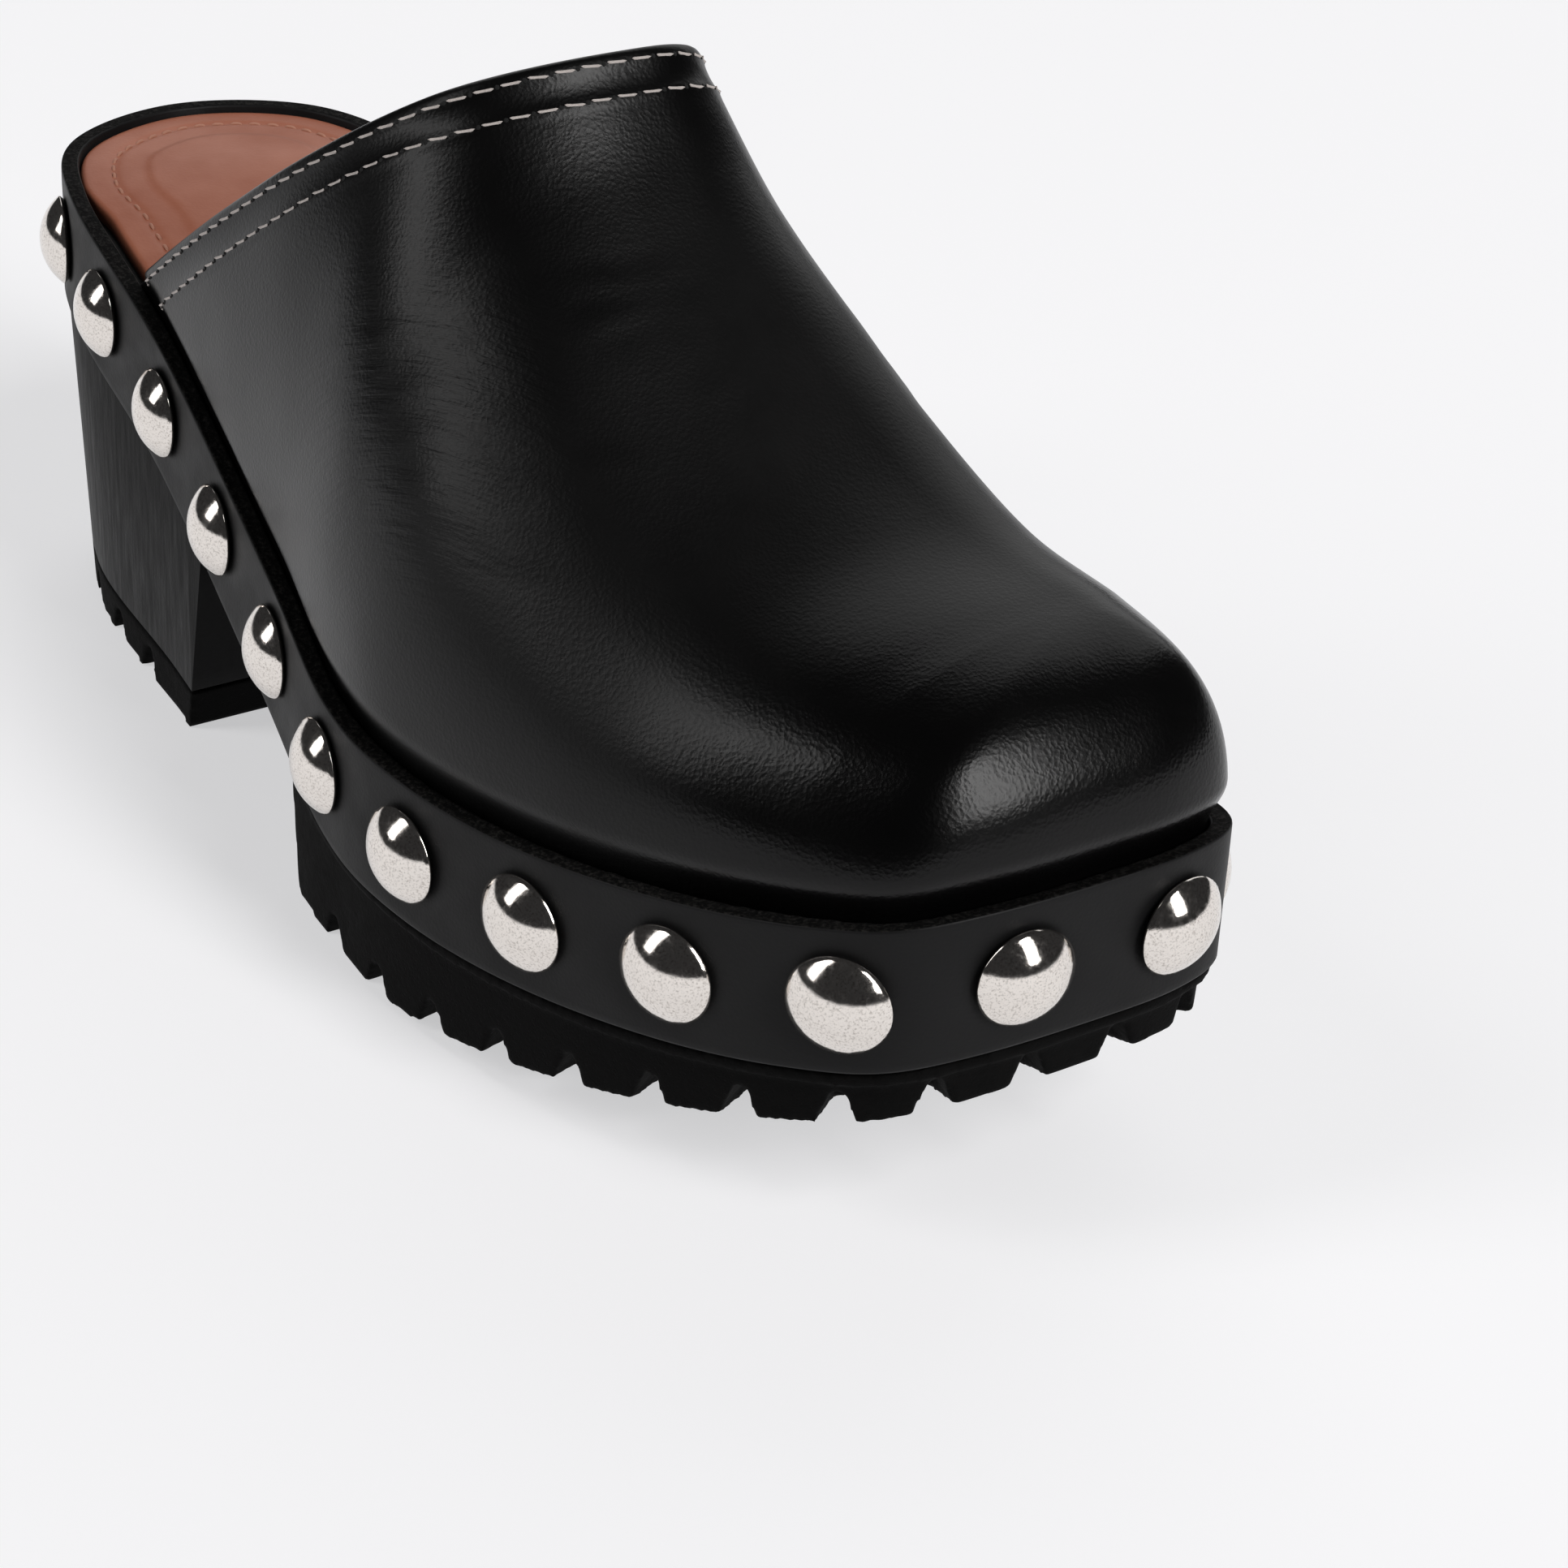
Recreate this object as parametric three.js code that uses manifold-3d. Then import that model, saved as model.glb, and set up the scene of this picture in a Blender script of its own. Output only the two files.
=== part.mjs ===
// Studded platform clog, right shoe: a backless leather upper on a wrapped platform,
// a leather band held round it by a row of domed studs, a lugged rubber forepart and
// a block heel with a rubber top piece. Millimetres, toe to +X, little-toe side to -Y.

import * as THREE from 'three';
import { mergeVertices } from 'three/addons/utils/BufferGeometryUtils.js';
import Module from 'manifold-3d';

const wasm = await Module();
wasm.setup();

// Overall sizes of the platform, its heights taken to the band's top edge
const LENGTH = 260;
const BALL_WIDTH = 95;
const BALL_TOP = 43.6;
const SEAT_RISE = 33;
const TOE_RISE = 14;
const CLEARANCE = 0.3;

// Where the arch climbs to the heel seat and where the toe turns up, in shares of the length
const ARCH_FRONT = 0.64;
const ARCH_BACK = 0.1;
const SPRING_START = 0.69;
const SPRING_POWER = 1.7;

// Band, insole and platform core
const BAND_HEIGHT = 23;
const BAND_WALL = 3;
const BAND_LEAN = 0.5;
const INSOLE_THICKNESS = 3;
const INSOLE_DROP = 1.2;

// Studs
const STUD_DIAMETER = 15;
const STUD_DOME = 3.6;
const STUD_RIM = 0.4;
const STUD_PITCH = 25.6;
const STUD_FIRST = 0.695;
const STUD_SHANK = 2.4;
const STUD_SIDES = 14;
const STUD_RINGS = 3;

// Rubber forepart
const SOLE_START = 0.53;
const SOLE_BREAST_LEAN = 2;
const SOLE_BREAST_INSET = 0.2;
const SOLE_BREAST_LENGTH = 22;
const SOLE_LIP_HEIGHT = 2.2;
const SOLE_LIP_INSET = 0.2;
const SOLE_INSET = 1.6;
const ROCKER_START = 0.635;
const ROCKER_RISE = 26.5;
const ROCKER_POWER = 1.5;

// Notches round the tread's edge and grooves across its middle
const NOTCH_PITCH = 14.65;
const NOTCH_FIRST = 0.75;
const NOTCH_MOUTH = 5.6;
const NOTCH_ROOF = 2;
const NOTCH_DEPTH = 5;
const NOTCH_REACH = 9;
const GROOVE_COUNT = 6;
const GROOVE_WIDTH = 3.2;
const GROOVE_DEPTH = 2.4;
const GROOVE_FIELD = 0.6;

// Heel
const HEEL_BREAST = 0.36;
const HEEL_BREAST_LEAN = 7.5;
const HEEL_BACK_LEAN = 8;
const HEEL_SIDE_FLARE = 1.2;
const HEEL_INSET = 0.2;
const LIFT_HEIGHT = 8;

// Upper
const UPPER_WALL = 2.2;
const UPPER_BULGE = 2.1;
const UPPER_BULGE_RISE = 7;
const UPPER_BACK = 0.16;
const TOE_BOX_LENGTH = 28;
const INSTEP_HEIGHT = 86;
const COLLAR_TOP = 0.546;
const COLLAR_LOW = 0.281;
const COLLAR_LOW_RISE = 13;

// Platform outline from the back of the heel, little-toe side first: along is a share
// of the length, across a share of the ball width.
const OUTLINE = [
  { along: 0, across: -0.079 },
  { along: 0.037, across: -0.319 },
  { along: 0.125, across: -0.419 },
  { along: 0.305, across: -0.443 },
  { along: 0.492, across: -0.48 },
  { along: 0.589, across: -0.517 },
  { along: 0.665, across: -0.514 },
  { along: 0.781, across: -0.439 },
  { along: 0.872, across: -0.344 },
  { along: 0.942, across: -0.238 },
  { along: 0.976, across: -0.158 },
  { along: 0.99, across: -0.021 },
  { along: 0.995, across: 0.165 },
  { along: 0.993, across: 0.319 },
  { along: 0.976, across: 0.435 },
  { along: 0.935, across: 0.478 },
  { along: 0.804, across: 0.491 },
  { along: 0.688, across: 0.484 },
  { along: 0.554, across: 0.389 },
  { along: 0.419, across: 0.266 },
  { along: 0.285, across: 0.237 },
  { along: 0.125, across: 0.261 },
  { along: 0.037, across: 0.161 },
];

// Sections of the last under the upper: height is the ridge above the band's top edge
// as a share of the instep height, across its place as a share of the ball width, and
// outer and inner are how square the little-toe side and the big-toe side are.
const SECTIONS = [
  { along: 0.1, height: 1.34, across: 0.085, outer: 1.83, inner: 2.4 },
  { along: 0.3, height: 1.27, across: 0.085, outer: 1.83, inner: 2.4 },
  { along: 0.42, height: 1.219, across: 0.085, outer: 1.9, inner: 2.31 },
  { along: 0.519, height: 1.09, across: 0.085, outer: 2.05, inner: 2.23 },
  { along: 0.6, height: 0.867, across: 0.09, outer: 2.32, inner: 2.3 },
  { along: 0.7, height: 0.647, across: 0.154, outer: 2.73, inner: 2.15 },
  { along: 0.8, height: 0.457, across: 0.218, outer: 2.75, inner: 2.4 },
  { along: 0.88, height: 0.384, across: 0.272, outer: 2.64, inner: 2.38 },
  { along: 0.96, height: 0.324, across: 0.311, outer: 2.35, inner: 2.35 },
];

// How finely the curves are cut into facets
const STATIONS = 52;
const FINE_STEPS = 2400;
const ARCH_STEPS = 11;
const ARCH_SPACING = 1.2;
const MERGE_DISTANCE = 1e-4;

function clampedSmooth(value) {
  const t = Math.min(Math.max(value, 0), 1);
  return t * t * (3 - 2 * t);
}

function mix(a, b, t) {
  return a + (b - a) * t;
}

// Heights of the platform at a distance x from the back of the heel
function topLine(x) {
  const along = x / LENGTH;
  const seat = clampedSmooth((ARCH_FRONT - along) / (ARCH_FRONT - ARCH_BACK));
  const spring = Math.max((along - SPRING_START) / (1 - SPRING_START), 0);
  return BALL_TOP + SEAT_RISE * seat + TOE_RISE * spring ** SPRING_POWER;
}

function bandFoot(x) {
  return topLine(x) - BAND_HEIGHT;
}

function treadLine(x) {
  const share = Math.max((x / LENGTH - ROCKER_START) / (1 - ROCKER_START), 0);
  return ROCKER_RISE * share ** ROCKER_POWER;
}

// A smooth line through one column of the section table
function sectionValue(column, along) {
  const last = SECTIONS.length - 1;
  const found = SECTIONS.findIndex((row) => row.along > along);
  const next = Math.max(found < 0 ? last : found, 1);
  const slope = (index) => {
    const before = SECTIONS[Math.max(index - 1, 0)];
    const after = SECTIONS[Math.min(index + 1, last)];
    return (after[column] - before[column]) / (after.along - before.along);
  };
  const start = SECTIONS[next - 1];
  const end = SECTIONS[next];
  const span = end.along - start.along;
  const t = Math.min(Math.max((along - start.along) / span, 0), 1);
  const rise = end[column] - start[column];
  const leave = slope(next - 1) * span;
  const arrive = slope(next) * span;
  const bend = (leave + arrive - 2 * rise) * t;
  return start[column] + t * (leave + t * (3 * rise - 2 * leave - arrive + bend));
}

// The outline as a smooth closed curve, with its foremost and rearmost places found
const outline = new THREE.CatmullRomCurve3(
  OUTLINE.map((row) => new THREE.Vector3(row.along * LENGTH, row.across * BALL_WIDTH, 0)),
  true,
  'centripetal',
);
outline.arcLengthDivisions = FINE_STEPS;
const perimeter = outline.getLength();
const reaches = outline.getSpacedPoints(FINE_STEPS).map((point) => point.x);
const toeShare = reaches.indexOf(Math.max(...reaches)) / FINE_STEPS;
const heelShare = reaches.indexOf(Math.min(...reaches)) / FINE_STEPS;

function outlinePoint(share) {
  const wrapped = share - Math.floor(share);
  const point = outline.getPointAt(wrapped);
  const tangent = outline.getTangentAt(wrapped);
  return { x: point.x, y: point.y, outX: tangent.y, outY: -tangent.x };
}

function insetPoint(point, inset) {
  return { ...point, x: point.x - point.outX * inset, y: point.y - point.outY * inset };
}

// Equal steps along the outline, starting a share of one step past the back of the heel
function placesAlong(pitch, first) {
  const count = Math.round(perimeter / pitch);
  return Array.from({ length: count }, (unused, at) => outlinePoint(heelShare + (at + first) / count));
}

// Pairs of outline points, one on each side, from the back of the heel to the toe
const heelTurn = heelShare > toeShare ? heelShare - 1 : heelShare;
const stations = Array.from({ length: STATIONS + 1 }, (unused, step) => ({
  outer: outlinePoint(mix(heelTurn, toeShare, step / STATIONS)),
  inner: outlinePoint(mix(heelTurn + 1, toeShare, step / STATIONS)),
}));

function stationsBetween(from, to = Infinity) {
  return stations.filter(({ outer }) => outer.x > from * LENGTH && outer.x < to * LENGTH);
}

// Lists of triangles become closed solids once equal corners are merged
function addTriangle(list, a, b, c) {
  list.push(...a, ...b, ...c);
}

function addQuad(list, a, b, c, d) {
  addTriangle(list, a, b, c);
  addTriangle(list, a, c, d);
}

function solidFromGeometry(source) {
  const geometry = source.index ? source.toNonIndexed() : source.clone();
  geometry.deleteAttribute('normal');
  geometry.deleteAttribute('uv');
  const merged = mergeVertices(geometry, MERGE_DISTANCE);
  const corners = merged.index.array;
  const kept = [];
  for (let at = 0; at < corners.length; at += 3) {
    const [a, b, c] = corners.slice(at, at + 3);
    if (a !== b && b !== c && c !== a) {
      kept.push(a, b, c);
    }
  }
  const mesh = new wasm.Mesh({
    numProp: 3,
    vertProperties: new Float32Array(merged.attributes.position.array),
    triVerts: new Uint32Array(kept),
  });
  return new wasm.Manifold(mesh);
}

function solidFromTriangles(list) {
  const geometry = new THREE.BufferGeometry();
  geometry.setAttribute('position', new THREE.Float32BufferAttribute(list, 3));
  return solidFromGeometry(geometry);
}

function geometryFromSolid(solid) {
  const mesh = solid.getMesh();
  const geometry = new THREE.BufferGeometry();
  geometry.setAttribute('position', new THREE.BufferAttribute(mesh.vertProperties.slice(), 3));
  geometry.setIndex(new THREE.BufferAttribute(mesh.triVerts.slice(), 1));
  geometry.computeVertexNormals();
  return geometry;
}

// A solid stacked from layers; a layer holds the two side points of every station
function stackSolid(layers) {
  const list = [];
  const bottom = layers[0];
  const top = layers[layers.length - 1];
  const last = bottom.length - 1;
  for (let level = 1; level < layers.length; level += 1) {
    const low = layers[level - 1];
    const high = layers[level];
    for (let at = 0; at < last; at += 1) {
      addQuad(list, low[at].outer, low[at + 1].outer, high[at + 1].outer, high[at].outer);
      addQuad(list, low[at + 1].inner, low[at].inner, high[at].inner, high[at + 1].inner);
    }
    addQuad(list, low[0].inner, low[0].outer, high[0].outer, high[0].inner);
    addQuad(list, low[last].outer, low[last].inner, high[last].inner, high[last].outer);
  }
  for (let at = 0; at < last; at += 1) {
    addQuad(list, bottom[at].inner, bottom[at + 1].inner, bottom[at + 1].outer, bottom[at].outer);
    addQuad(list, top[at].outer, top[at + 1].outer, top[at + 1].inner, top[at].inner);
  }
  return solidFromTriangles(list);
}

// A layer of the stack, each of its points given by a function of the outline's point
function layer(chosen, place) {
  return chosen.map(({ outer, inner }) => ({ outer: place(outer), inner: place(inner) }));
}

// A layer inside the outline, its insets and its heights given by functions of x
function insetLayer(chosen, insetAt, heightAt) {
  return layer(chosen, (point) => {
    const moved = insetPoint(point, insetAt(point.x));
    return [moved.x, moved.y, heightAt(moved.x)];
  });
}

// The band leans in towards its top edge, and so does all that lies inside it
function leanAt(drop) {
  return BAND_LEAN * (1 - (2 * drop) / BAND_HEIGHT);
}

function bandLayer(inset, drop) {
  return insetLayer(stations, () => inset + leanAt(drop), (x) => topLine(x) - drop);
}

// A block turned about Y, used to cut a piece off along one of its faces
function faceCutter(x, z, turn, reach) {
  const geometry = new THREE.BoxGeometry(reach, reach * 2, reach * 2);
  geometry.translate(reach / 2, 0, 0);
  geometry.rotateY(turn);
  geometry.translate(x, 0, z);
  return solidFromGeometry(geometry);
}

// Depths below the band's top edge, and insets from the outline
const insoleFoot = INSOLE_DROP + INSOLE_THICKNESS;
const coreTop = insoleFoot + CLEARANCE;
const coreInset = BAND_WALL + CLEARANCE;
const insoleInset = coreInset + UPPER_WALL + CLEARANCE;

function bandSolid() {
  const past = BAND_HEIGHT / 2;
  const outside = stackSolid([bandLayer(0, BAND_HEIGHT), bandLayer(0, 0)]);
  const inside = stackSolid([
    bandLayer(BAND_WALL, BAND_HEIGHT + past),
    bandLayer(BAND_WALL, -past),
  ]);
  return outside.subtract(inside);
}

function coreSolid() {
  return stackSolid([bandLayer(coreInset, BAND_HEIGHT), bandLayer(coreInset, coreTop)]);
}

// The insole fills the band at the heel and steps in beside the upper's wall further on
function insoleSolid() {
  const place = (drop) => (point) => {
    const share = clampedSmooth((point.x / LENGTH - ARCH_BACK) / (UPPER_BACK - ARCH_BACK));
    const moved = insetPoint(point, mix(coreInset, insoleInset, share) + leanAt(drop));
    return [moved.x, moved.y, topLine(moved.x) - drop];
  };
  return stackSolid([layer(stations, place(insoleFoot)), layer(stations, place(INSOLE_DROP))]);
}

// One side of a section of the last: straight up inside the band, then over to the ridge
function halfArch(point, side, ridgeX, inset, footDrop) {
  const foot = insetPoint(point, coreInset + leanAt(0) + inset);
  const springing = topLine(foot.x) + CLEARANCE;
  const power = 2 / sectionValue(side, foot.x / LENGTH);
  const ridgeY = sectionValue('across', ridgeX / LENGTH) * BALL_WIDTH;
  const ridgeHeight = (x) => {
    return topLine(x) + INSTEP_HEIGHT * sectionValue('height', x / LENGTH) - inset;
  };
  const points = [[foot.x, foot.y, topLine(foot.x) - footDrop]];
  for (let step = 0; step < ARCH_STEPS - 1; step += 1) {
    const angle = (step / (ARCH_STEPS - 1)) ** ARCH_SPACING * (Math.PI / 2);
    const spread = Math.cos(angle) ** power;
    const x = mix(ridgeX, foot.x, spread);
    const y = mix(ridgeY, foot.y, spread);
    const z = mix(springing, ridgeHeight(x), Math.sin(angle) ** power);
    const bulge = UPPER_BULGE * spread * clampedSmooth((z - springing) / UPPER_BULGE_RISE);
    points.push([x + point.outX * bulge, y + point.outY * bulge, z]);
  }
  points.push([ridgeX, ridgeY, ridgeHeight(ridgeX)]);
  return points;
}

// The form of the last, its sections fanning out round the toe box
function lastSolid(inset, footDrop) {
  const arches = stationsBetween(UPPER_BACK).map((station) => {
    const middle = (station.outer.x + station.inner.x) / 2;
    const ridgeX = Math.min(middle, LENGTH - TOE_BOX_LENGTH);
    const outer = halfArch(station.outer, 'outer', ridgeX, inset, footDrop);
    const inner = halfArch(station.inner, 'inner', ridgeX, inset, footDrop);
    const floor = [ridgeX, outer[ARCH_STEPS][1], topLine(ridgeX) - footDrop];
    return { outer, inner, floor };
  });
  const list = [];
  for (let at = 1; at < arches.length; at += 1) {
    const back = arches[at - 1];
    const front = arches[at];
    for (let step = 0; step < ARCH_STEPS; step += 1) {
      addQuad(list, back.outer[step], front.outer[step], front.outer[step + 1], back.outer[step + 1]);
      addQuad(list, front.inner[step], back.inner[step], back.inner[step + 1], front.inner[step + 1]);
    }
    addQuad(list, back.floor, front.floor, front.outer[0], back.outer[0]);
    addQuad(list, front.floor, back.floor, back.inner[0], front.inner[0]);
  }
  const rear = arches[0];
  for (let step = 0; step < ARCH_STEPS; step += 1) {
    addTriangle(list, rear.floor, rear.outer[step], rear.outer[step + 1]);
    addTriangle(list, rear.floor, rear.inner[step + 1], rear.inner[step]);
  }
  return solidFromTriangles(list);
}

// The upper is the last's form less a smaller one, cut off by the slanted plane of the collar
function upperSolid() {
  const outside = lastSolid(0, insoleFoot);
  const inside = lastSolid(UPPER_WALL, insoleFoot + INSOLE_THICKNESS);
  const lowX = COLLAR_LOW * LENGTH;
  const lowZ = topLine(lowX) + COLLAR_LOW_RISE;
  const topX = COLLAR_TOP * LENGTH;
  const topZ = topLine(topX) + INSTEP_HEIGHT;
  const turn = Math.PI + Math.atan2(topX - lowX, topZ - lowZ);
  return outside.subtract(inside).subtract(faceCutter(lowX, lowZ, turn, LENGTH));
}

// A notch is a short wedge pointing in from the edge, its mouth on the floor side
function notchSolid(edge, floorAt) {
  const shape = new THREE.Shape();
  shape.moveTo(-NOTCH_MOUTH / 2, -NOTCH_DEPTH);
  shape.lineTo(NOTCH_MOUTH / 2, -NOTCH_DEPTH);
  shape.lineTo(NOTCH_MOUTH / 2, 0);
  shape.lineTo(NOTCH_ROOF / 2, NOTCH_DEPTH);
  shape.lineTo(-NOTCH_ROOF / 2, NOTCH_DEPTH);
  shape.lineTo(-NOTCH_MOUTH / 2, 0);
  shape.closePath();
  const geometry = new THREE.ExtrudeGeometry(shape, { depth: NOTCH_REACH * 2, bevelEnabled: false });
  geometry.translate(0, 0, -NOTCH_REACH);
  const outward = new THREE.Vector3(edge.outX, edge.outY, 0);
  const along = new THREE.Vector3(-edge.outY, edge.outX, 0);
  geometry.applyMatrix4(new THREE.Matrix4().makeBasis(along, new THREE.Vector3(0, 0, 1), outward));
  geometry.translate(edge.x, edge.y, floorAt(edge.x));
  return solidFromGeometry(geometry);
}

function cutNotches(solid, insetAt, floorAt, from, to) {
  const edges = placesAlong(NOTCH_PITCH, NOTCH_FIRST);
  const moved = edges.map((point) => insetPoint(point, insetAt(point.x)));
  const chosen = moved.filter((edge) => edge.x > from && edge.x < to);
  return chosen.reduce((rest, edge) => rest.subtract(notchSolid(edge, floorAt)), solid);
}

// Grooves lie across the middle of the tread, square to its rocker
function cutGrooves(solid) {
  const field = stationsBetween(SOLE_START, 1 - GROOVE_WIDTH / LENGTH);
  let cut = solid;
  for (let step = 1; step <= GROOVE_COUNT; step += 1) {
    const { outer, inner } = field[Math.round((field.length - 1) * (step / (GROOVE_COUNT + 1)))];
    const x = (outer.x + inner.x) / 2;
    const slope = Math.atan2(treadLine(x + GROOVE_WIDTH) - treadLine(x), GROOVE_WIDTH);
    const width = (inner.y - outer.y) * GROOVE_FIELD;
    const groove = new THREE.BoxGeometry(GROOVE_WIDTH, width, GROOVE_DEPTH * 2);
    groove.rotateY(-slope);
    groove.translate(x, (outer.y + inner.y) / 2, treadLine(x));
    cut = cut.subtract(solidFromGeometry(groove));
  }
  return cut;
}

// The tread's edge is nearly flush with the band at its breast and steps in further on
function soleInset(x) {
  const past = (x - SOLE_START * LENGTH) / SOLE_BREAST_LENGTH;
  return mix(SOLE_BREAST_INSET, SOLE_INSET, clampedSmooth(past));
}

function outsoleSolid() {
  const chosen = stationsBetween(SOLE_START / 2);
  const soleTop = (x) => bandFoot(x) - CLEARANCE;
  const lipFoot = (x) => soleTop(x) - SOLE_LIP_HEIGHT;
  const slab = stackSolid([
    insetLayer(chosen, soleInset, treadLine),
    insetLayer(chosen, soleInset, lipFoot),
    insetLayer(chosen, () => SOLE_LIP_INSET, lipFoot),
    insetLayer(chosen, () => SOLE_LIP_INSET, soleTop),
  ]);
  const breastX = SOLE_START * LENGTH;
  const turn = Math.PI - Math.atan2(SOLE_BREAST_LEAN, bandFoot(breastX));
  const forepart = slab.subtract(faceCutter(breastX, 0, turn, LENGTH));
  const first = breastX + NOTCH_PITCH / 2;
  return cutGrooves(cutNotches(forepart, soleInset, treadLine, first, LENGTH));
}

// The heel's sides flare and its back leans in, from the band's foot down to the floor
function heelLayer(drop, heightAt) {
  return layer(stationsBetween(-Infinity, (1 + HEEL_BREAST) / 2), (point) => {
    const moved = insetPoint(point, HEEL_INSET - drop * HEEL_SIDE_FLARE);
    const backward = Math.max(1 - moved.x / (HEEL_BREAST * LENGTH), 0);
    const x = moved.x + drop * (HEEL_BACK_LEAN + HEEL_SIDE_FLARE) * backward;
    return [x, moved.y, heightAt(x)];
  });
}

const liftDrop = 1 - LIFT_HEIGHT / bandFoot(0);
const breastTurn = Math.atan2(HEEL_BREAST_LEAN, bandFoot(HEEL_BREAST * LENGTH));

function cutBreast(solid) {
  const x = HEEL_BREAST * LENGTH;
  return solid.subtract(faceCutter(x, bandFoot(x), breastTurn, LENGTH));
}

function heelSolid() {
  return cutBreast(stackSolid([
    heelLayer(liftDrop, () => LIFT_HEIGHT + CLEARANCE),
    heelLayer(0, (x) => bandFoot(x) - CLEARANCE),
  ]));
}

function liftSolid() {
  const blank = cutBreast(stackSolid([
    heelLayer(1, () => 0),
    heelLayer(liftDrop, () => LIFT_HEIGHT),
  ]));
  const last = HEEL_BREAST * LENGTH - HEEL_BREAST_LEAN - NOTCH_MOUTH;
  return cutNotches(blank, () => HEEL_INSET - HEEL_SIDE_FLARE, () => 0, 0, last);
}

// A stud is a spherical cap with a thin rim, turned upright like a lathe piece
function studBlank() {
  const radius = STUD_DIAMETER / 2;
  const domeRadius = (radius ** 2 + STUD_DOME ** 2) / (2 * STUD_DOME);
  const edgeAngle = Math.asin(radius / domeRadius);
  const profile = [new THREE.Vector2(0, -STUD_SHANK), new THREE.Vector2(radius, -STUD_SHANK)];
  for (let ring = 0; ring < STUD_RINGS; ring += 1) {
    const angle = edgeAngle * (1 - ring / STUD_RINGS);
    const height = STUD_RIM + STUD_DOME - domeRadius * (1 - Math.cos(angle));
    profile.push(new THREE.Vector2(domeRadius * Math.sin(angle), height));
  }
  profile.push(new THREE.Vector2(0, STUD_RIM + STUD_DOME));
  return new THREE.LatheGeometry(profile, STUD_SIDES);
}

// The back of each stud is shaped to the band that it is driven into
const blank = studBlank();
const seat = stackSolid([
  bandLayer(-CLEARANCE, BAND_HEIGHT + STUD_DIAMETER),
  bandLayer(-CLEARANCE, -STUD_DIAMETER),
]);

function studSolid(place) {
  const lean = Math.atan2(2 * BAND_LEAN, BAND_HEIGHT);
  const level = Math.cos(lean);
  const outward = new THREE.Vector3(place.outX * level, place.outY * level, Math.sin(lean));
  const side = new THREE.Vector3(-place.outY, place.outX, 0);
  const turn = new THREE.Matrix4().makeBasis(
    side,
    outward,
    new THREE.Vector3().crossVectors(side, outward),
  );
  const middle = new THREE.Vector3(place.x, place.y, topLine(place.x) - BAND_HEIGHT / 2);
  turn.setPosition(middle.addScaledVector(outward, CLEARANCE));
  return solidFromGeometry(blank.clone().applyMatrix4(turn)).subtract(seat);
}

function finish(colour, roughness, metalness = 0) {
  return new THREE.MeshStandardMaterial({ color: colour, roughness, metalness });
}

const blackLeather = finish(0x111111, 0.42);
const bandLeather = finish(0x17161a, 0.6);
const tanLeather = finish(0x9b6250, 0.6);
const coreWrap = finish(0x151515, 0.7);
const blackRubber = finish(0x0d0d0d, 0.85);
const heelBlack = finish(0x1b1a1c, 0.65);
const nickel = finish(0xd6cfc9, 0.22, 1);

const clog = new THREE.Group();

function addPiece(name, solid, material) {
  const mesh = new THREE.Mesh(geometryFromSolid(solid), material);
  mesh.name = name;
  clog.add(mesh);
}

addPiece('upper', upperSolid(), blackLeather);
addPiece('insole', insoleSolid(), tanLeather);
addPiece('platform_core', coreSolid(), coreWrap);
addPiece('band', bandSolid(), bandLeather);
addPiece('outsole', outsoleSolid(), blackRubber);
addPiece('heel', heelSolid(), heelBlack);
addPiece('heel_lift', liftSolid(), blackRubber);
placesAlong(STUD_PITCH, STUD_FIRST).forEach((place, at) => {
  addPiece(`stud_${String(at + 1).padStart(2, '0')}`, studSolid(place), nickel);
});

// The origin is the middle of the shoe's footprint, on the floor
const bounds = new THREE.Box3().setFromObject(clog);
const footprint = bounds.getCenter(new THREE.Vector3());
clog.position.set(-footprint.x, -footprint.y, -bounds.min.z);

export default clog;
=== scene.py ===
"""Studded platform clog, right shoe, toe to +X and little-toe side to -Y, standing on a floor."""

import math

import bmesh
import bpy
import numpy as np
from mathutils import Matrix, Vector


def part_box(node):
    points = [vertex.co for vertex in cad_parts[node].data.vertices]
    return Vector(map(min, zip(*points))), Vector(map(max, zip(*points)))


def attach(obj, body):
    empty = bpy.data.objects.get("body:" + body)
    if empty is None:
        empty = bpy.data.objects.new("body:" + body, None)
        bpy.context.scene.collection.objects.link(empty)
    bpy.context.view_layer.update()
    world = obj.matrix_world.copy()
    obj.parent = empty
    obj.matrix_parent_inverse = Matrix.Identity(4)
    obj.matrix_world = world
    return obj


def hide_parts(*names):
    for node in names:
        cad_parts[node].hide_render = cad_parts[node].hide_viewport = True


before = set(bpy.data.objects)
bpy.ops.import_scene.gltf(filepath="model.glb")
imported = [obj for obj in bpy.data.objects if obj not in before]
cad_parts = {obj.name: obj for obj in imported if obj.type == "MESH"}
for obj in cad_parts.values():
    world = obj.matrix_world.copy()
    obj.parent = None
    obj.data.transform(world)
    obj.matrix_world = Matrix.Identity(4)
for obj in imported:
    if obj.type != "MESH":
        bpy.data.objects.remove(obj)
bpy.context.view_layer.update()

# Platform core
# The shaped platform that carries the foot, wrapped in thin black leather. The band and
# the soles hide it, and only its underside shows, at the waist.
MM = 0.001
LENGTH = 260
BALL_WIDTH = 95
BALL_TOP = 43.6
SEAT_RISE = 33
TOE_RISE = 14
ARCH_BACK, ARCH_FRONT = 0.1, 0.64
SPRING_START, SPRING_POWER = 0.69, 1.7
BAND_HEIGHT = 23
BAND_WALL = 3
BAND_LEAN = 0.5
CLEARANCE = 0.3
INSOLE_DROP, INSOLE_THICKNESS = 1.2, 3
CORE_INSET = BAND_WALL + CLEARANCE
INSOLE_FOOT = INSOLE_DROP + INSOLE_THICKNESS
CORE_ROUNDING = 0.8
ROUNDED_FACETS, ROUNDED_FROM = 2, math.radians(40)
MERGE_METRES = 2e-6

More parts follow.
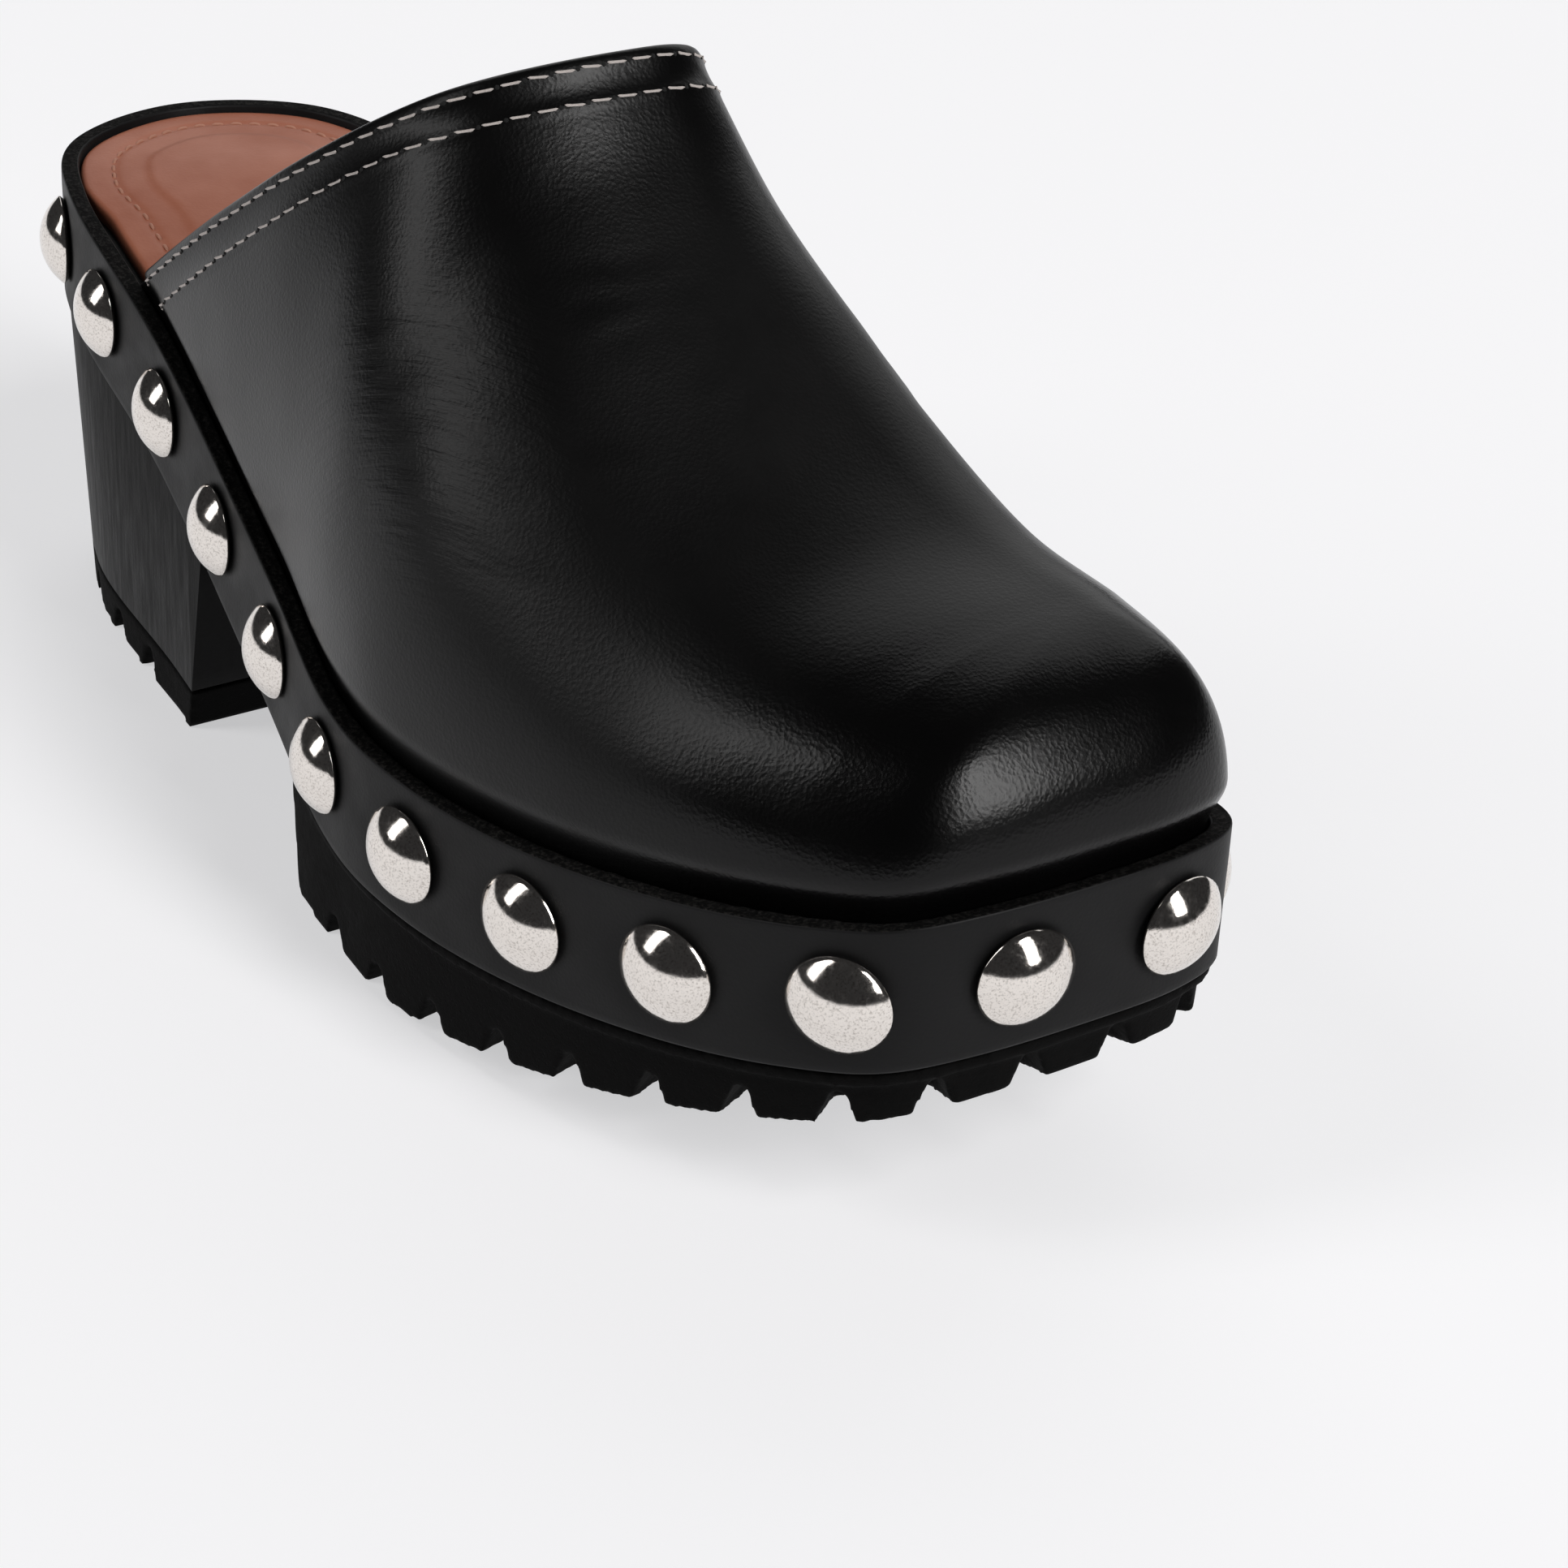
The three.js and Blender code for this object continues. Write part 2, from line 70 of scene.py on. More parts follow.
# Shares along the length and across the ball, from the heel's back, little-toe side first
OUTLINE = (
    (0, -0.079), (0.037, -0.319), (0.125, -0.419), (0.305, -0.443), (0.492, -0.48),
    (0.589, -0.517), (0.665, -0.514), (0.781, -0.439), (0.872, -0.344), (0.942, -0.238),
    (0.976, -0.158), (0.99, -0.021), (0.995, 0.165), (0.993, 0.319), (0.976, 0.435),
    (0.935, 0.478), (0.804, 0.491), (0.688, 0.484), (0.554, 0.389), (0.419, 0.266),
    (0.285, 0.237), (0.125, 0.261), (0.037, 0.161),
)
OUTLINE_STEPS, SPAN_STEPS = 4096, 80
FAIRING = 2.5


def smoothstep(value):
    t = np.clip(value, 0, 1)
    return t * t * (3 - 2 * t)


def mix(a, b, t):
    return a + (b - a) * t


def fair_outline():
    """Equal steps along the outline's curve, with its corners of curvature evened out."""
    corners = np.array(OUTLINE) * (LENGTH, BALL_WIDTH)
    count = len(corners)
    t = np.linspace(0, 1, SPAN_STEPS, endpoint=False)[:, None]
    spans = []
    for at in range(count):
        before, start, end, after = (corners[(at + step) % count] for step in (-1, 0, 1, 2))
        back, over, on = (
            math.sqrt(math.dist(a, b)) for a, b in ((before, start), (start, end), (end, after))
        )
        leave = over * ((start - before) / back - (end - before) / (back + over) + (end - start) / over)
        arrive = over * ((end - start) / over - (after - start) / (over + on) + (after - end) / on)
        spans.append(
            start + t * leave
            + t**2 * (3 * (end - start) - 2 * leave - arrive)
            + t**3 * (2 * (start - end) + leave + arrive)
        )
    curve = np.vstack([*spans, corners[:1]])
    reach = np.concatenate([[0], np.cumsum(np.linalg.norm(np.diff(curve, axis=0), axis=1))])
    even = np.linspace(0, reach[-1], OUTLINE_STEPS, endpoint=False)
    place = np.interp(even, reach, curve[:, 0]) + 1j * np.interp(even, reach, curve[:, 1])
    waves = np.fft.fftfreq(OUTLINE_STEPS, reach[-1] / OUTLINE_STEPS)
    fair = np.fft.ifft(np.fft.fft(place) * np.exp(-2 * (math.pi * FAIRING * waves) ** 2))
    return np.stack([fair.real, fair.imag], 1)


outline = fair_outline()
outline_tangent = np.roll(outline, -1, 0) - np.roll(outline, 1, 0)
outline_tangent /= np.linalg.norm(outline_tangent, axis=1, keepdims=True)
outline_out = np.stack([outline_tangent[:, 1], -outline_tangent[:, 0]], 1)
heel_share = outline[:, 0].argmin() / OUTLINE_STEPS
toe_share = outline[:, 0].argmax() / OUTLINE_STEPS
if heel_share > 0.5:
    heel_share -= 1


def outline_at(shares):
    """Places on the outline and the directions that point out of it."""
    at = (np.asarray(shares) % 1) * OUTLINE_STEPS
    low = np.floor(at).astype(int) % OUTLINE_STEPS
    high = (low + 1) % OUTLINE_STEPS
    part = (at - np.floor(at))[:, None]
    return mix(outline[low], outline[high], part), mix(outline_out[low], outline_out[high], part)


def top_line(x):
    """Height of the band's top edge over the floor."""
    seat = smoothstep((ARCH_FRONT - x / LENGTH) / (ARCH_FRONT - ARCH_BACK))
    spring = np.maximum((x / LENGTH - SPRING_START) / (1 - SPRING_START), 0)
    return BALL_TOP + SEAT_RISE * seat + TOE_RISE * spring**SPRING_POWER


def band_foot(x):
    return top_line(x) - BAND_HEIGHT


def lean_at(drop):
    return BAND_LEAN * (1 - 2 * drop / BAND_HEIGHT)


band_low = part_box("band")[0] / MM
LAST_ORIGIN = np.array([band_low.x + BAND_LEAN, band_low.y + BAND_LEAN - outline[:, 1].min(), 0])

RING_COUNT = 620
ring_shares = heel_share + np.arange(RING_COUNT) / RING_COUNT


def raised(place, height_at):
    """Places in plan, lifted to a height that is a single value or a function of x."""
    height = height_at(place[:, 0]) if callable(height_at) else np.full(len(place), height_at)
    return np.column_stack([place, height])


def ring(inset, height_at):
    """A closed ring inside the outline, its inset too a single value or a function of x."""
    place, out = outline_at(ring_shares)
    inward = inset(place[:, 0]) if callable(inset) else inset
    return raised(place - out * np.reshape(inward, (-1, 1)), height_at)


def band_ring(inset, drop):
    return ring(inset + lean_at(drop), lambda x: top_line(x) - drop)


def ring_walls(rings, closed=False):
    """Quads between rings that are stacked one on the next."""
    levels = np.arange(rings if closed else rings - 1)
    level, at = np.meshgrid(levels, np.arange(RING_COUNT), indexing="ij")
    above, beside = (level + 1) % rings, (at + 1) % RING_COUNT
    corners = (level, at), (level, beside), (above, beside), (above, at)
    return np.stack([a * RING_COUNT + b for a, b in corners], -1).reshape(-1, 4).tolist()


def ring_cap(level):
    """Strips that close a ring from one side of the shoe to the other."""
    near = np.arange(RING_COUNT // 2)
    far = (-near) % RING_COUNT
    corners = near, near + 1, (far - 1) % RING_COUNT, far
    return (level * RING_COUNT + np.stack(corners, -1)).tolist()


def in_frame(points):
    """Moves points from the last's millimetres to the frame's metres."""
    return (np.asarray(points) + LAST_ORIGIN) * MM


def new_mesh(name, points, faces):
    """A mesh from points in the last's millimetres, merged, with its faces outwards."""
    mesh = bpy.data.meshes.new(name)
    placed = in_frame(np.asarray(points).reshape(-1, 3))
    mesh.from_pydata(placed.tolist(), [], [list(dict.fromkeys(face)) for face in faces])
    shape = bmesh.new()
    shape.from_mesh(mesh)
    bmesh.ops.remove_doubles(shape, verts=shape.verts, dist=MERGE_METRES)
    bmesh.ops.recalc_face_normals(shape, faces=shape.faces)
    shape.to_mesh(mesh)
    shape.free()
    mesh.shade_smooth()
    return mesh


def stacked(name, *rings):
    """A closed mesh of rings, each on the one before."""
    return new_mesh(
        name, np.stack(rings), ring_walls(len(rings)) + ring_cap(0) + ring_cap(len(rings) - 1),
    )


def new_object(mesh):
    made = bpy.data.objects.new(mesh.name, mesh)
    bpy.context.scene.collection.objects.link(made)
    return made


def settled(made):
    """Turns an object's modifiers into plain mesh."""
    worked = made.evaluated_get(bpy.context.evaluated_depsgraph_get())
    result = bpy.data.meshes.new_from_object(worked)
    made.modifiers.clear()
    made.data = result
    return made


def rounded(made, width):
    """Rounds a piece's clear edges to a width in millimetres."""
    bevel = made.modifiers.new("rounded edges", "BEVEL")
    bevel.width = width * MM
    bevel.segments = ROUNDED_FACETS
    bevel.limit_method = "ANGLE"
    bevel.angle_limit = ROUNDED_FROM
    return settled(made)


def stand_for(made, finish, slot, *nodes):
    """Gives a finished piece its material and its place in the frame."""
    if finish:
        made.data.materials.clear()
        made.data.materials.append(finish)
    made.data.shade_smooth()
    if nodes:
        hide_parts(*nodes)
    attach(made, "root")
    return made


def new_finish(name, colour, roughness, **sockets):
    """A plain material, whose shader's further sockets are set by name."""
    finish = bpy.data.materials.new(name)
    finish.use_nodes = True
    shader = finish.node_tree.nodes["Principled BSDF"]
    shader.inputs["Base Color"].default_value = (*colour, 1)
    shader.inputs["Roughness"].default_value = roughness
    for socket, value in sockets.items():
        shader.inputs[socket.replace("_", " ")].default_value = value
    return finish


def wire(finish, **sources):
    """Links sources to a finish's shader, its sockets named as for a new finish."""
    shader = finish.node_tree.nodes["Principled BSDF"]
    for socket, source in sources.items():
        finish.node_tree.links.new(source, shader.inputs[socket.replace("_", " ")])


def add_node(owner, kind, *links, **values):
    """A node in a finish or tree; links are (socket, source) pairs, values its properties."""
    tree = getattr(owner, "node_tree", owner)
    node = tree.nodes.new(kind)
    for name, value in values.items():
        setattr(node, name, value)
    for socket, source in links:
        if hasattr(source, "is_output"):
            tree.links.new(source, node.inputs[socket])
        else:
            node.inputs[socket].default_value = source
    return node


def object_place(finish):
    return add_node(finish, "ShaderNodeTexCoord").outputs["Object"]


def cells(finish, place, size):
    """Rounded cells about size millimetres wide."""
    return add_node(
        finish, "ShaderNodeTexVoronoi", ("Vector", place), ("Scale", 1 / (size * MM)),
    ).outputs["Distance"]


def relief(finish, height, depth, strength, below=None):
    """Bump of a real depth in millimetres, over the bump below it."""
    links = [("Height", height), ("Distance", depth * MM), ("Strength", strength)]
    if below:
        links.append(("Normal", below))
    return add_node(finish, "ShaderNodeBump", *links).outputs["Normal"]


core_finish = new_finish("wrapped_core", (0.014, 0.014, 0.015), 0.55)
core_grain = cells(core_finish, object_place(core_finish), 0.8)
wire(core_finish, Normal=relief(core_finish, core_grain, 0.08, 0.4))
core = new_object(stacked(
    "platform_wrap", band_ring(CORE_INSET, BAND_HEIGHT), band_ring(CORE_INSET, INSOLE_FOOT + CLEARANCE),
))
stand_for(rounded(core, CORE_ROUNDING), core_finish, "core", "platform_core")

# Studs
# Domed metal caps in nickel, pressed from sheet and driven through the band on a prong.
# They sit at equal steps along the band, half way up it.
STUD_DIAMETER = 15
STUD_DOME = 3.6
STUD_RIM = 0.4
STUD_COUNT = 24
STUD_FIRST = 0.695
STUD_SIDES = 48
STUD_RINGS = 12
STUD_LEAN = math.atan2(2 * BAND_LEAN, BAND_HEIGHT)

# How far in from the rim and how high over the band the rolled edge goes, step by step
STUD_ROLL = ((0, STUD_RIM * 0.4), (0.15, 0), (0.6, -0.5))

stud_places, stud_outs = outline_at((np.arange(STUD_COUNT) + STUD_FIRST) / STUD_COUNT)
stud_out = np.column_stack([stud_outs * math.cos(STUD_LEAN), np.full(STUD_COUNT, math.sin(STUD_LEAN))])
stud_centre = np.column_stack([stud_places, top_line(stud_places[:, 0]) - BAND_HEIGHT / 2])


def plain_object(name, points, faces=()):
    """An object whose points are given in metres."""
    mesh = bpy.data.meshes.new(name)
    mesh.from_pydata(np.asarray(points).tolist(), [], faces)
    return new_object(mesh)


def stud_blank():
    """One cap standing on the origin, its edge rolled under."""
    radius = STUD_DIAMETER / 2
    dome = (radius**2 + STUD_DOME**2) / (2 * STUD_DOME)
    angles = np.linspace(0, math.asin(radius / dome), STUD_RINGS + 1)[1:]
    inward, rise = np.array(STUD_ROLL).T
    across = np.concatenate([dome * np.sin(angles), radius - inward])
    height = np.concatenate([STUD_RIM + STUD_DOME - dome * (1 - np.cos(angles)), rise])
    turn = np.arange(STUD_SIDES) / STUD_SIDES * math.tau
    rings = [
        np.column_stack([np.cos(turn) * r, np.sin(turn) * r, np.full(STUD_SIDES, z)])
        for r, z in zip(across, height)
    ]
    points = np.vstack([[[0, 0, STUD_RIM + STUD_DOME]], *rings, [[0, 0, rise[-1]]]]) * MM
    faces = []
    last = 1 + (len(rings) - 1) * STUD_SIDES
    for at in range(STUD_SIDES):
        beside = (at + 1) % STUD_SIDES
        faces.append((0, 1 + at, 1 + beside))
        for low in range(1, last, STUD_SIDES):
            high = low + STUD_SIDES
            faces.append((low + at, high + at, high + beside, low + beside))
        faces.append((last + at, len(points) - 1, last + beside))
    return plain_object("stud_blank", points, faces)


def maths(owner, operation, *values, kind="ShaderNodeVectorMath", output="Vector"):
    """What an operation makes of sources or plain numbers."""
    return add_node(owner, kind, *enumerate(values), operation=operation).outputs[output]


def row_tree():
    """Sets a piece on each point of a row, facing out of the surface and along the row."""
    tree = bpy.data.node_groups.new("set along a row", "GeometryNodeTree")
    for name, kind in (
        ("Row", "Geometry"), ("Piece", "Object"), ("Size", "Float"), ("Unevenness", "Float"),
        ("Seed", "Int"), ("Finish", "Material"),
    ):
        tree.interface.new_socket(name, in_out="INPUT", socket_type="NodeSocket" + kind)
    tree.interface.new_socket("Set pieces", in_out="OUTPUT", socket_type="NodeSocketGeometry")
    given = tree.nodes.new("NodeGroupInput").outputs
    outward, forward = (
        add_node(tree, "GeometryNodeInputNamedAttribute", ("Name", name), data_type="FLOAT_VECTOR")
        for name in ("outward", "forward")
    )
    axes = add_node(
        tree, "FunctionNodeAxesToRotation", ("Primary Axis", outward.outputs["Attribute"]),
        ("Secondary Axis", forward.outputs["Attribute"]), primary_axis="Z", secondary_axis="X",
    ).outputs["Rotation"]
    piece = add_node(tree, "GeometryNodeObjectInfo", ("Object", given["Piece"])).outputs["Geometry"]
    placed = add_node(
        tree, "GeometryNodeInstanceOnPoints", ("Points", given["Row"]), ("Instance", piece),
        ("Rotation", axes), ("Scale", given["Size"]),
    ).outputs["Instances"]

    # Each piece swings a little to either side, by no more than the unevenness in radians
    other_way = maths(tree, "MULTIPLY", given["Unevenness"], -1, kind="ShaderNodeMath", output="Value")
    swing = add_node(tree, "FunctionNodeRandomValue", ("Seed", given["Seed"]), data_type="FLOAT")
    least, most = [socket for socket in swing.inputs if socket.type == "VALUE"][:2]
    tree.links.new(other_way, least)
    tree.links.new(given["Unevenness"], most)
    angle = next(socket for socket in swing.outputs if socket.type == "VALUE")
    about = add_node(tree, "ShaderNodeCombineXYZ", ("Z", angle)).outputs["Vector"]
    turned = add_node(
        tree, "GeometryNodeRotateInstances", ("Instances", placed), ("Rotation", about),
    ).outputs["Instances"]
    real = add_node(tree, "GeometryNodeRealizeInstances", ("Geometry", turned)).outputs["Geometry"]
    dressed = add_node(
        tree, "GeometryNodeSetMaterial", ("Geometry", real), ("Material", given["Finish"]),
    ).outputs["Geometry"]
    tree.links.new(dressed, tree.nodes.new("NodeGroupOutput").inputs["Set pieces"])
    return tree


set_along_row = row_tree()


def set_row(name, points, outward, forward, piece, finish, unevenness=0.0, seed=1):
    """Pieces set on points given in the last's millimetres, as one plain mesh."""
    made = plain_object(name, in_frame(points))
    for label, vectors in (("outward", outward), ("forward", forward)):
        layer = made.data.attributes.new(label, "FLOAT_VECTOR", "POINT")
        layer.data.foreach_set("vector", np.asarray(vectors, float).ravel())
    modifier = made.modifiers.new("row", "NODES")
    modifier.node_group = set_along_row
    values = {"Piece": piece, "Size": 1.0, "Unevenness": unevenness, "Seed": seed, "Finish": finish}
    for item in set_along_row.interface.items_tree:
        if item.in_out == "INPUT" and item.name in values:
            modifier[item.identifier] = values[item.name]
    return settled(made)


def noise(finish, place, size, detail=3, roughness=0.5, output="Fac"):
    """Cloudy noise whose patches are about size millimetres wide."""
    return add_node(
        finish, "ShaderNodeTexNoise", ("Vector", place), ("Scale", 1 / (size * MM)),
        ("Detail", detail), ("Roughness", roughness),
    ).outputs[output]


def spread(finish, source, low, high, to_low, to_high):
    """Maps a value's range to another one."""
    return add_node(
        finish, "ShaderNodeMapRange", ("Value", source), ("From Min", low), ("From Max", high),
        ("To Min", to_low), ("To Max", to_high),
    ).outputs["Result"]


def blend_colours(finish, factor, first, second):
    """Runs from the first colour to the second as the factor goes from 0 to 1."""
    node = add_node(finish, "ShaderNodeMix", ("Factor", factor), data_type="RGBA")
    colours = [socket for socket in node.inputs if socket.type == "RGBA"]
    colours[0].default_value = (*first, 1)
    colours[1].default_value = (*second, 1)
    return next(socket for socket in node.outputs if socket.type == "RGBA")


nickel = new_finish("worn_nickel", (0.78, 0.74, 0.70), 0.2, Metallic=1.0)
nickel_place = object_place(nickel)
nickel_wear = noise(nickel, nickel_place, 0.9, 6, 0.75)
nickel_speckle = spread(nickel, noise(nickel, nickel_place, 0.35, 4, 0.7), 0.5, 0.68, 0, 1)
wire(
    nickel,
    Base_Color=blend_colours(nickel, nickel_speckle, (0.8, 0.755, 0.71), (0.45, 0.41, 0.375)),
    Roughness=spread(nickel, nickel_wear, 0.35, 0.75, 0.04, 0.2),
    Normal=relief(nickel, nickel_wear, 0.02, 0.5),
)

blank = stud_blank()
stud_up = np.tile([0.0, 0.0, 1.0], (STUD_COUNT, 1))
studs = set_row("studs", stud_centre + stud_out * CLEARANCE, stud_out, stud_up, blank, nickel)
stand_for(studs, nickel, "stud_metal", *[f"stud_{at + 1:02d}" for at in range(STUD_COUNT)])
bpy.data.objects.remove(blank)

# Band
# A strip of thick black leather on edge round the platform, skived at its foot and left raw
# at its top, where it is only blacked. Each stud draws a shallow dish into its face.
BAND_ROUNDING, BAND_SKIVING = 0.55, 0.3
BAND_ROWS, BAND_TURN_STEPS, BAND_TOP_STEPS = 26, 5, 6
BAND_TOP_END = 0.9
STUD_DISH, STUD_DISH_REACH = 0.28, 9.2
BAND_WANDER, BAND_WANDER_SIZE = 0.12, 34
RAW_EDGE_DEPTH, RAW_EDGE_SIZE = 0.096, 2.2
RAW_EDGE_FACING = 0.72


def band_profile():
    """Insets and drops round the strip's section, up its face, over the top and down its back."""
    face = [(0, drop) for drop in np.linspace(BAND_HEIGHT - BAND_ROUNDING, BAND_ROUNDING, BAND_ROWS)]
    turn = np.linspace(0, math.pi / 2, BAND_TURN_STEPS)[1:-1]
    front = [
        (BAND_ROUNDING * (1 - math.cos(a)), BAND_ROUNDING * (1 - math.sin(a))) for a in turn
    ]
    across = np.linspace(BAND_ROUNDING / BAND_WALL, BAND_TOP_END, BAND_TOP_STEPS)
    top = [(share * BAND_WALL, 0) for share in across]
    back = [(BAND_WALL, BAND_ROUNDING), (BAND_WALL, BAND_HEIGHT / 2), (BAND_WALL, BAND_HEIGHT)]
    skive = BAND_ROUNDING * BAND_SKIVING
    foot = [(BAND_ROUNDING, BAND_HEIGHT), (skive, BAND_HEIGHT - skive)]
    return face + front + top + back + foot


ROUGH_WAVES = 14
ROUGH_SIZES = (0.6, 1.7)
ROUGH_PEAK = 1.5


def rough(points, size, seed):
    """Smooth hand-made unevenness from crossing waves, mostly between -1 and 1."""
    draw = np.random.default_rng(seed)
    total = np.zeros(len(points))
    for _ in range(ROUGH_WAVES):
        direction = draw.normal(size=3)
        direction /= np.linalg.norm(direction)
        wave = size * draw.uniform(*ROUGH_SIZES)
        total += np.sin(points @ direction * math.tau / wave + draw.uniform(0, 7))
    return total / ROUGH_WAVES**0.5 / ROUGH_PEAK


band_rings = [band_ring(inset, drop) for inset, drop in band_profile()]
band_points = np.vstack(band_rings)
band_out = np.column_stack([outline_at(ring_shares)[1], np.zeros(RING_COUNT)])
band_out = np.tile(band_out, (len(band_rings), 1))
band_inset, band_drop = np.repeat(np.array(band_profile()), RING_COUNT, axis=0).T
nearest = np.min(np.linalg.norm(band_points[:, None] - stud_centre[None], axis=2), axis=1)
dish = STUD_DISH * np.exp(-((nearest / STUD_DISH_REACH) ** 6)) * (band_inset < 0.01)
wander = BAND_WANDER * rough(band_points, BAND_WANDER_SIZE, 5) * (band_inset < 1)
band_points -= band_out * (dish + wander)[:, None]
raw = (band_drop < 0.01) & (band_inset > 0.2)
band_points[:, 2] -= np.where(raw, RAW_EDGE_DEPTH * (1 + rough(band_points, RAW_EDGE_SIZE, 8)), 0)

band_finish = new_finish("band_leather", (0.006, 0.006, 0.0062), 0.5, Specular_IOR_Level=0.14)
band_place = object_place(band_finish)
band_grain = relief(band_finish, cells(band_finish, band_place, 0.55), 0.035, 0.5)
band_mottle = noise(band_finish, band_place, 12, 5, 0.6)
wire(
    band_finish,
    Base_Color=blend_colours(band_finish, band_mottle, (0.0038, 0.0038, 0.004), (0.0078, 0.0076, 0.008)),
    Roughness=spread(band_finish, band_mottle, 0.3, 0.7, 0.43, 0.58),
    Normal=relief(band_finish, noise(band_finish, band_place, 7, 4), 0.12, 0.35, band_grain),
)
edge_finish = new_finish("raw_edge", (0.01, 0.0095, 0.009), 0.85, Specular_IOR_Level=0.1)
edge_fibre = noise(edge_finish, object_place(edge_finish), 0.7, 6, 0.75)
edge_worn = spread(edge_finish, edge_fibre, 0.48, 0.72, 0, 1)
wire(
    edge_finish,
    Base_Color=blend_colours(edge_finish, edge_worn, (0.0015, 0.0015, 0.0015), (0.035, 0.033, 0.031)),
    Normal=relief(edge_finish, edge_fibre, 0.25, 0.9),
)
band = new_object(new_mesh("studded_band", band_points, ring_walls(len(band_rings), closed=True)))
band.data.materials.append(band_finish)
band.data.materials.append(edge_finish)
for face in band.data.polygons:
    face.material_index = int(face.normal.z > RAW_EDGE_FACING)
stand_for(band, None, "band_leather", "band")

# Insole
# A tan leather sock on a thin board, edge to edge at the heel and tucked in beside the
# upper's wall further on, with a seam sunk into it near its edge and a faintly raised pad.
UPPER_WALL = 2.2
UPPER_BACK = 0.16
INSOLE_INSET = CORE_INSET + UPPER_WALL + CLEARANCE
SEAM_INSET, SEAM_SINK, SEAM_WIDTH = 5.6, 0.35, 0.8
PAD_INSET, PAD_RISE, PAD_SLOPE, PAD_LEVEL = 10.5, 0.45, 2.2, 3.1
INSOLE_EDGE = ((0, 0.8), (0.12, 0.38), (0.42, 0.1))
INSOLE_FACE, INSOLE_STEP = 0.9, 0.55


def insole_inset(x):
    share = smoothstep((x / LENGTH - ARCH_BACK) / (UPPER_BACK - ARCH_BACK))
    return mix(CORE_INSET, INSOLE_INSET, share)


def insole_ring(inset, drop):
    return ring(lambda x: insole_inset(x) + inset + lean_at(drop), lambda x: top_line(x) - drop)


insole_rows = [(0, INSOLE_FOOT)]
insole_rows += [(inset, INSOLE_DROP + drop) for inset, drop in INSOLE_EDGE]
for inset in np.arange(INSOLE_FACE, PAD_INSET + PAD_LEVEL, INSOLE_STEP):
    sink = SEAM_SINK * math.exp(-(((inset - SEAM_INSET) / SEAM_WIDTH) ** 2))
    pad = PAD_RISE * float(smoothstep((inset - PAD_INSET) / PAD_SLOPE))
    insole_rows.append((inset, INSOLE_DROP + sink - pad))
insole = new_object(stacked("insole_sock", *[insole_ring(inset, drop) for inset, drop in insole_rows]))

tan = new_finish("tan_leather", (0.37, 0.125, 0.07), 0.5, Specular_IOR_Level=0.28)
tan_place = object_place(tan)
tan_cloud = noise(tan, tan_place, 18, 5, 0.6)
tan_shade = spread(tan, tan_cloud, 0.3, 0.7, 0, 1)
tan_grain = relief(tan, cells(tan, tan_place, 0.6), 0.04, 0.4)
wire(
    tan,
    Base_Color=blend_colours(tan, tan_shade, (0.41, 0.142, 0.08), (0.33, 0.105, 0.057)),
    Roughness=spread(tan, tan_cloud, 0.3, 0.7, 0.42, 0.56),
    Normal=relief(tan, noise(tan, tan_place, 1.1, 4, 0.6), 0.06, 0.4, tan_grain),
)
stand_for(insole, tan, "insole_leather", "insole")

STITCH_SIDES, STITCH_RINGS = 8, 9
STITCH_BLUNTNESS, STITCH_TIP, STITCH_DIVE = 5, 0.02, 0.45
INSOLE_PITCH, INSOLE_STITCH = 3.3, 2.5
INSOLE_THREAD, INSOLE_LIFT, INSOLE_UNEVENNESS = 0.6, 0.16, 0.05


def stitch_blank(length, thread, lift):
    """One stitch along X, its ends diving into the leather."""
    along = np.linspace(-1, 1, STITCH_RINGS)
    turn = np.arange(STITCH_SIDES) / STITCH_SIDES * math.tau
    rings = []
    for share in along:
        round_end = math.sqrt(max(1 - abs(share) ** STITCH_BLUNTNESS, STITCH_TIP))
        centre = lift - (lift + thread * STITCH_DIVE) * abs(share) ** 3
        rings.append(np.column_stack([
            np.full(STITCH_SIDES, share * length / 2),
            np.cos(turn) * thread / 2 * round_end,
            np.sin(turn) * thread / 2 * round_end + centre,
        ]))
    faces = [
        (low + at, low + beside, low + STITCH_SIDES + beside, low + STITCH_SIDES + at)
        for low in range(0, (STITCH_RINGS - 1) * STITCH_SIDES, STITCH_SIDES)
        for at, beside in zip(range(STITCH_SIDES), (*range(1, STITCH_SIDES), 0))
    ]
    last = (STITCH_RINGS - 1) * STITCH_SIDES
    faces += [tuple(reversed(range(STITCH_SIDES))), tuple(range(last, last + STITCH_SIDES))]
    return plain_object("stitch_blank", np.vstack(rings) * MM, faces)


def even_steps(path, pitch, start=0.5):
    """Points at an even pitch along a path, with how far along the path's own rows they lie."""
    reach = np.concatenate([[0], np.cumsum(np.linalg.norm(np.diff(path, axis=0), axis=1))])
    count = int(reach[-1] / pitch)
    wanted = (np.arange(count) + start) * reach[-1] / count
    rows = np.interp(wanted, reach, np.arange(len(path)))
    return at_rows(path, rows), rows


def at_rows(values, rows):
    """Values between the rows of a table."""
    low = np.floor(rows).astype(int)
    high = np.minimum(low + 1, len(values) - 1)
    return mix(values[low], values[high], (rows - low)[:, None])


def along_path(path, rows):
    after, before = np.minimum(rows + 0.5, len(path) - 1), np.maximum(rows - 0.5, 0)
    ahead = at_rows(path, after) - at_rows(path, before)
    return ahead / np.linalg.norm(ahead, axis=1, keepdims=True)


